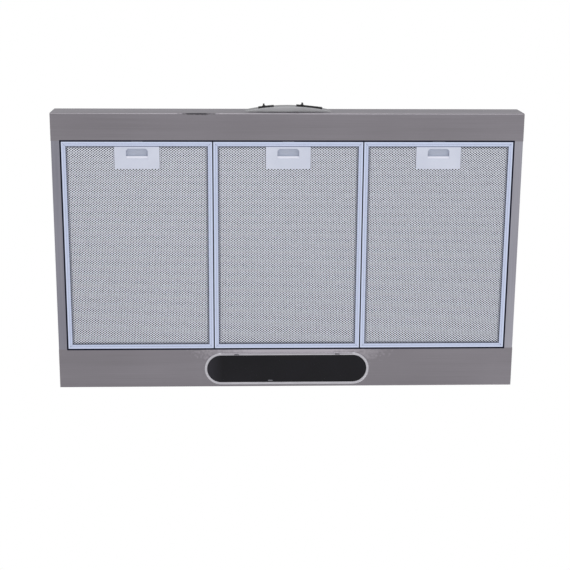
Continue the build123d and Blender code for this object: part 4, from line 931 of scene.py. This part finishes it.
# %% [markdown]
# ## The pleated foil
# A grease filter is a sandwich: a fine expanded sheet below, a pleated foil that makes the
# greasy air turn, and a coarser sheet above. The foil starts as a flat grid. Every second
# column of its vertices is lifted, which folds it to and fro.

# %% Helper: the pleated foil
PLEATS = 24
FOIL_ROWS = 60
FOIL_THICKNESS = 0.3 * MM


def pleated_foil(name, low, high, holes):
    """A foil folded to and fro between two heights."""
    nothing_selected()
    bpy.ops.mesh.primitive_grid_add(x_subdivisions=2 * PLEATS, y_subdivisions=FOIL_ROWS, size=1)
    foil = bpy.context.object
    foil.name = name
    foil.scale = (high[0] - low[0], high[1] - low[1], 1)
    foil.location = ((low[0] + high[0]) / 2, (low[1] + high[1]) / 2, low[2])
    bpy.ops.object.transform_apply(location=True, rotation=False, scale=True)
    column = (high[0] - low[0]) / (2 * PLEATS)
    bpy.ops.object.mode_set(mode="EDIT")
    bpy.context.tool_settings.mesh_select_mode = (True, False, False)
    bpy.ops.mesh.select_all(action="DESELECT")
    bpy.ops.object.mode_set(mode="OBJECT")
    for vertex in foil.data.vertices:
        number = round((vertex.co.x - low[0]) / column)
        vertex.select = number % 2 == 1
    bpy.ops.object.mode_set(mode="EDIT")
    bpy.ops.transform.translate(value=(0, 0, high[2] - low[2]))
    bpy.ops.object.mode_set(mode="OBJECT")
    for hole_low, hole_high in holes:
        delete_faces_in(foil, hole_low, hole_high)
    thicken(foil, FOIL_THICKNESS)
    settle(foil, foil_painted_shade)
    return foil


# %% [markdown]
# ## The three layers of each cassette
# The layers sit in the channel of the frame, so the cut edges of the mesh never show. The
# coarse sheet is the fine one with larger cells. The catch plate and its slider housing take
# a bay out of the layers, and the CAD boxes of those pieces say where.

# %% Build the layers of every cassette
MESH_IN_CHANNEL = 2.4 * MM
SLIDER_ROOM = 3 * MM
LOWER_UP = 0.7 * MM
LOWER_THICKNESS = 0.35 * MM
UPPER_DOWN = 0.9 * MM
UPPER_THICKNESS = 0.4 * MM
COARSER = 2
FOIL_UP = 1.6 * MM
FOIL_DOWN = 2.0 * MM

for name in filter_names:
    mesh_low, mesh_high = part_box(name + "_mesh")
    plate_low, plate_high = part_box(name + "_catch_plate")
    slider_low, slider_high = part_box(name + "_latch")
    covered = FRAME_WIDTH - MESH_IN_CHANNEL
    window = (
        (mesh_low[0] + covered, mesh_low[1] + covered),
        (mesh_high[0] - covered, mesh_high[1] - covered),
    )
    plate_bay = ((plate_low[0], mesh_low[1]), (plate_high[0], plate_high[1]))
    slider_half = (slider_high[0] - slider_low[0]) / 2 + SLIDER_ROOM
    middle = (slider_low[0] + slider_high[0]) / 2
    slider_bay = ((middle - slider_half, mesh_low[1]), (middle + slider_half, plate_high[1]))
    lower = expanded_sheet(
        name + "_lower_mesh",
        window,
        mesh_low[2] + LOWER_UP,
        1,
        LOWER_THICKNESS,
        [plate_bay],
        mesh_finishes[name],
    )
    upper = expanded_sheet(
        name + "_upper_mesh",
        window,
        mesh_high[2] - UPPER_DOWN,
        COARSER,
        UPPER_THICKNESS,
        [slider_bay],
        mesh_finishes[name],
    )
    foil = pleated_foil(
        name + "_pleated_foil",
        (*window[0], mesh_low[2] + FOIL_UP),
        (*window[1], mesh_high[2] - FOIL_DOWN),
        [slider_bay],
    )
    for piece in (lower, upper, foil):
        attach(piece, name)
        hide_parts(name + "_mesh")
        print(piece.name, len(piece.data.polygons), "faces")

# %% [markdown]
# ## Return springs of the latches
# Each latch is pushed home by a small coil spring on a peg. A coil is a circle of wire that
# is turned round an axis while it moves along it, which is what the screw modifier does.
# The two open ends of the wire are then closed.

# %% Helper: a coil of wire
SPRING_WIRE = 0.7 * MM
SPRING_TURNS = 5
SPRING_CLEAR = 0.1 * MM
STEPS_PER_TURN = 20


def coil_spring(name, low, high, finish):
    """A coil of round wire along Y that fills a box, but for a hair at both ends."""
    radius = (high[0] - low[0] - SPRING_WIRE) / 2
    rise = high[1] - low[1] - SPRING_WIRE - 2 * SPRING_CLEAR
    nothing_selected()
    bpy.ops.mesh.primitive_circle_add(vertices=8, radius=SPRING_WIRE / 2)
    coil = bpy.context.object
    coil.name = name
    bpy.ops.object.mode_set(mode="EDIT")
    bpy.ops.transform.translate(value=(radius, 0, 0))
    bpy.ops.object.mode_set(mode="OBJECT")
    winding = coil.modifiers.new("winding", "SCREW")
    winding.axis = "Y"
    winding.screw_offset = rise / SPRING_TURNS
    winding.iterations = SPRING_TURNS
    winding.steps = STEPS_PER_TURN
    winding.render_steps = STEPS_PER_TURN
    bpy.ops.object.modifier_apply(modifier=winding.name)
    bpy.ops.object.mode_set(mode="EDIT")
    bpy.context.tool_settings.mesh_select_mode = (False, True, False)
    bpy.ops.mesh.select_all(action="DESELECT")
    bpy.ops.mesh.select_non_manifold()
    bpy.ops.mesh.fill_holes(sides=0)
    bpy.ops.object.mode_set(mode="OBJECT")
    start = low[1] + SPRING_CLEAR + SPRING_WIRE / 2
    coil.location = ((low[0] + high[0]) / 2, start, (low[2] + high[2]) / 2)
    settle(coil, finish)
    bpy.ops.object.shade_smooth_by_angle(angle=radians(50))
    return coil


# %% [markdown]
# In the hood the rear end of a spring stays where it is and its front end follows the latch
# that slides back. Here each spring is wound in the box of the CAD spring, which is then hidden,
# rides with its filter and gets a mesh of its own.

# %% Wind a spring for every latch
for name in filter_names:
    spring_low, spring_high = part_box(name + "_spring")
    spring = coil_spring(name + "_coil_spring", spring_low, spring_high, bright_wire)
    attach(spring, name)
    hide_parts(name + "_spring")
    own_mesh(spring)

# %% [markdown]
# ## Fins of the two slide knobs
# Each switch is worked by a slim moulded fin. A cube gives its blade, whose two flanks get an
# inset that sinks, for the finger tips. The back face is extruded and widened into a foot
# that lies on the switch plate, then extruded and narrowed into the stem that reaches the
# switch. The CAD knob says where: the fin leans as the arch does there and ends in its box.

# %% Helpers: one knob fin
FIN_WIDTH = 3.4 * MM
FIN_SHORTER = 1.6 * MM
FOOT_WIDTH = 6.4 * MM
FOOT_LIP = 0.45 * MM
FOOT_DEPTH = 0.9 * MM
CAP_OUT = 6.0 * MM
STEM_WIDTH = 3.8 * MM
STEM_HEIGHT = 2.8 * MM
STEM_SHORTER = 1 * MM
FLANK_RIM = 0.7 * MM
FLANK_SINK = 0.5 * MM
RIM_RADIUS = 0.2 * MM
SET_BACK = 0.5 * MM
OUTWARDS = 0.3 * MM
ARCH_LEAN = radians(6)


def block_behind(scale_x, scale_z, depth):
    """Extrudes the selected face into a wider or narrower block that reaches to the rear."""
    bpy.ops.mesh.extrude_region_move(TRANSFORM_OT_translate={"value": (0, 0, 0)})
    bpy.ops.transform.resize(value=(scale_x, 1, scale_z))
    bpy.ops.mesh.extrude_region_move(TRANSFORM_OT_translate={"value": (0, depth, 0)})


def knob_fin(name, low, high, lean):
    """A slim fin with sunk flanks, a foot and a stem, in the place of a box."""
    height = high[2] - low[2]
    blade_height = height - 2 * FOOT_LIP
    blade = CAP_OUT - FIN_SHORTER - FOOT_DEPTH
    stem = high[1] - low[1] - CAP_OUT - STEM_SHORTER
    nothing_selected()
    bpy.ops.mesh.primitive_cube_add(size=1)
    fin = bpy.context.object
    fin.name = name
    bpy.ops.object.mode_set(mode="EDIT")
    bpy.ops.transform.resize(value=(FIN_WIDTH, blade, blade_height))
    bpy.ops.transform.translate(value=(0, FIN_SHORTER + blade / 2, 0))
    choose_faces(fin, lambda face: abs(face.normal.x) > 0.9)
    bpy.ops.mesh.inset(thickness=FLANK_RIM, depth=-FLANK_SINK, use_individual=True)
    choose_faces(fin, lambda face: face.normal.y > 0.9)
    block_behind(FOOT_WIDTH / FIN_WIDTH, height / blade_height, FOOT_DEPTH)
    block_behind(STEM_WIDTH / FOOT_WIDTH, STEM_HEIGHT / height, stem)
    bpy.ops.mesh.select_all(action="SELECT")
    bpy.ops.transform.rotate(value=lean, orient_axis="Z", center_override=(0, 0, 0))
    bpy.ops.object.mode_set(mode="OBJECT")
    middle = (low[0] + high[0]) / 2 - OUTWARDS * lean / ARCH_LEAN
    fin.location = (middle, low[1] + SET_BACK, (low[2] + high[2]) / 2)
    rims = fin.modifiers.new("rims", "BEVEL")
    rims.width = RIM_RADIUS
    rims.segments = 2
    bpy.ops.object.modifier_apply(modifier=rims.name)
    settle(fin, black_plastic)
    bpy.ops.object.shade_smooth_by_angle(angle=radians(35))
    return fin


# %% [markdown]
# The arch falls away to both sides alike, so the two fins lean opposite ways. Each rides on
# the slider of its switch and stands for the plainer knob of the CAD model.

# %% Set the fins on the switches
knobs = (("light_knob", "light_slider", ARCH_LEAN), ("speed_knob", "speed_slider", -ARCH_LEAN))
for name, body, lean in knobs:
    fin = knob_fin(name + "_fin", *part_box(name), lean)
    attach(fin, body)
    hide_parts(name)
    print(fin.name, [round(side / MM, 1) for side in fin.dimensions], "mm")

# %% [markdown]
# ## Floor
# The hood hangs above a wide pale floor. The floor is below the camera of the photograph,
# so that picture shows only the white world, and the views from above show the floor.

# %% Floor
FLOOR_SIZE = 60
FLOOR_Z = -3.4

nothing_selected()
bpy.ops.mesh.primitive_plane_add(size=FLOOR_SIZE, location=(0, 0, FLOOR_Z))
floor = bpy.context.object
floor.name = "floor"
floor_paint, _ = new_finish("pale_floor", 0.0, 0.7)
floor_mottle = noise(floor_paint, place_on(floor_paint), 3, 3)
floor_skin = two_tones(floor_paint, floor_mottle, tone(236, 236, 237), tone(242, 242, 243))
feed(floor_paint, floor_skin, "Base Color")
floor.data.materials.append(floor_paint)
print("floor at", FLOOR_Z)
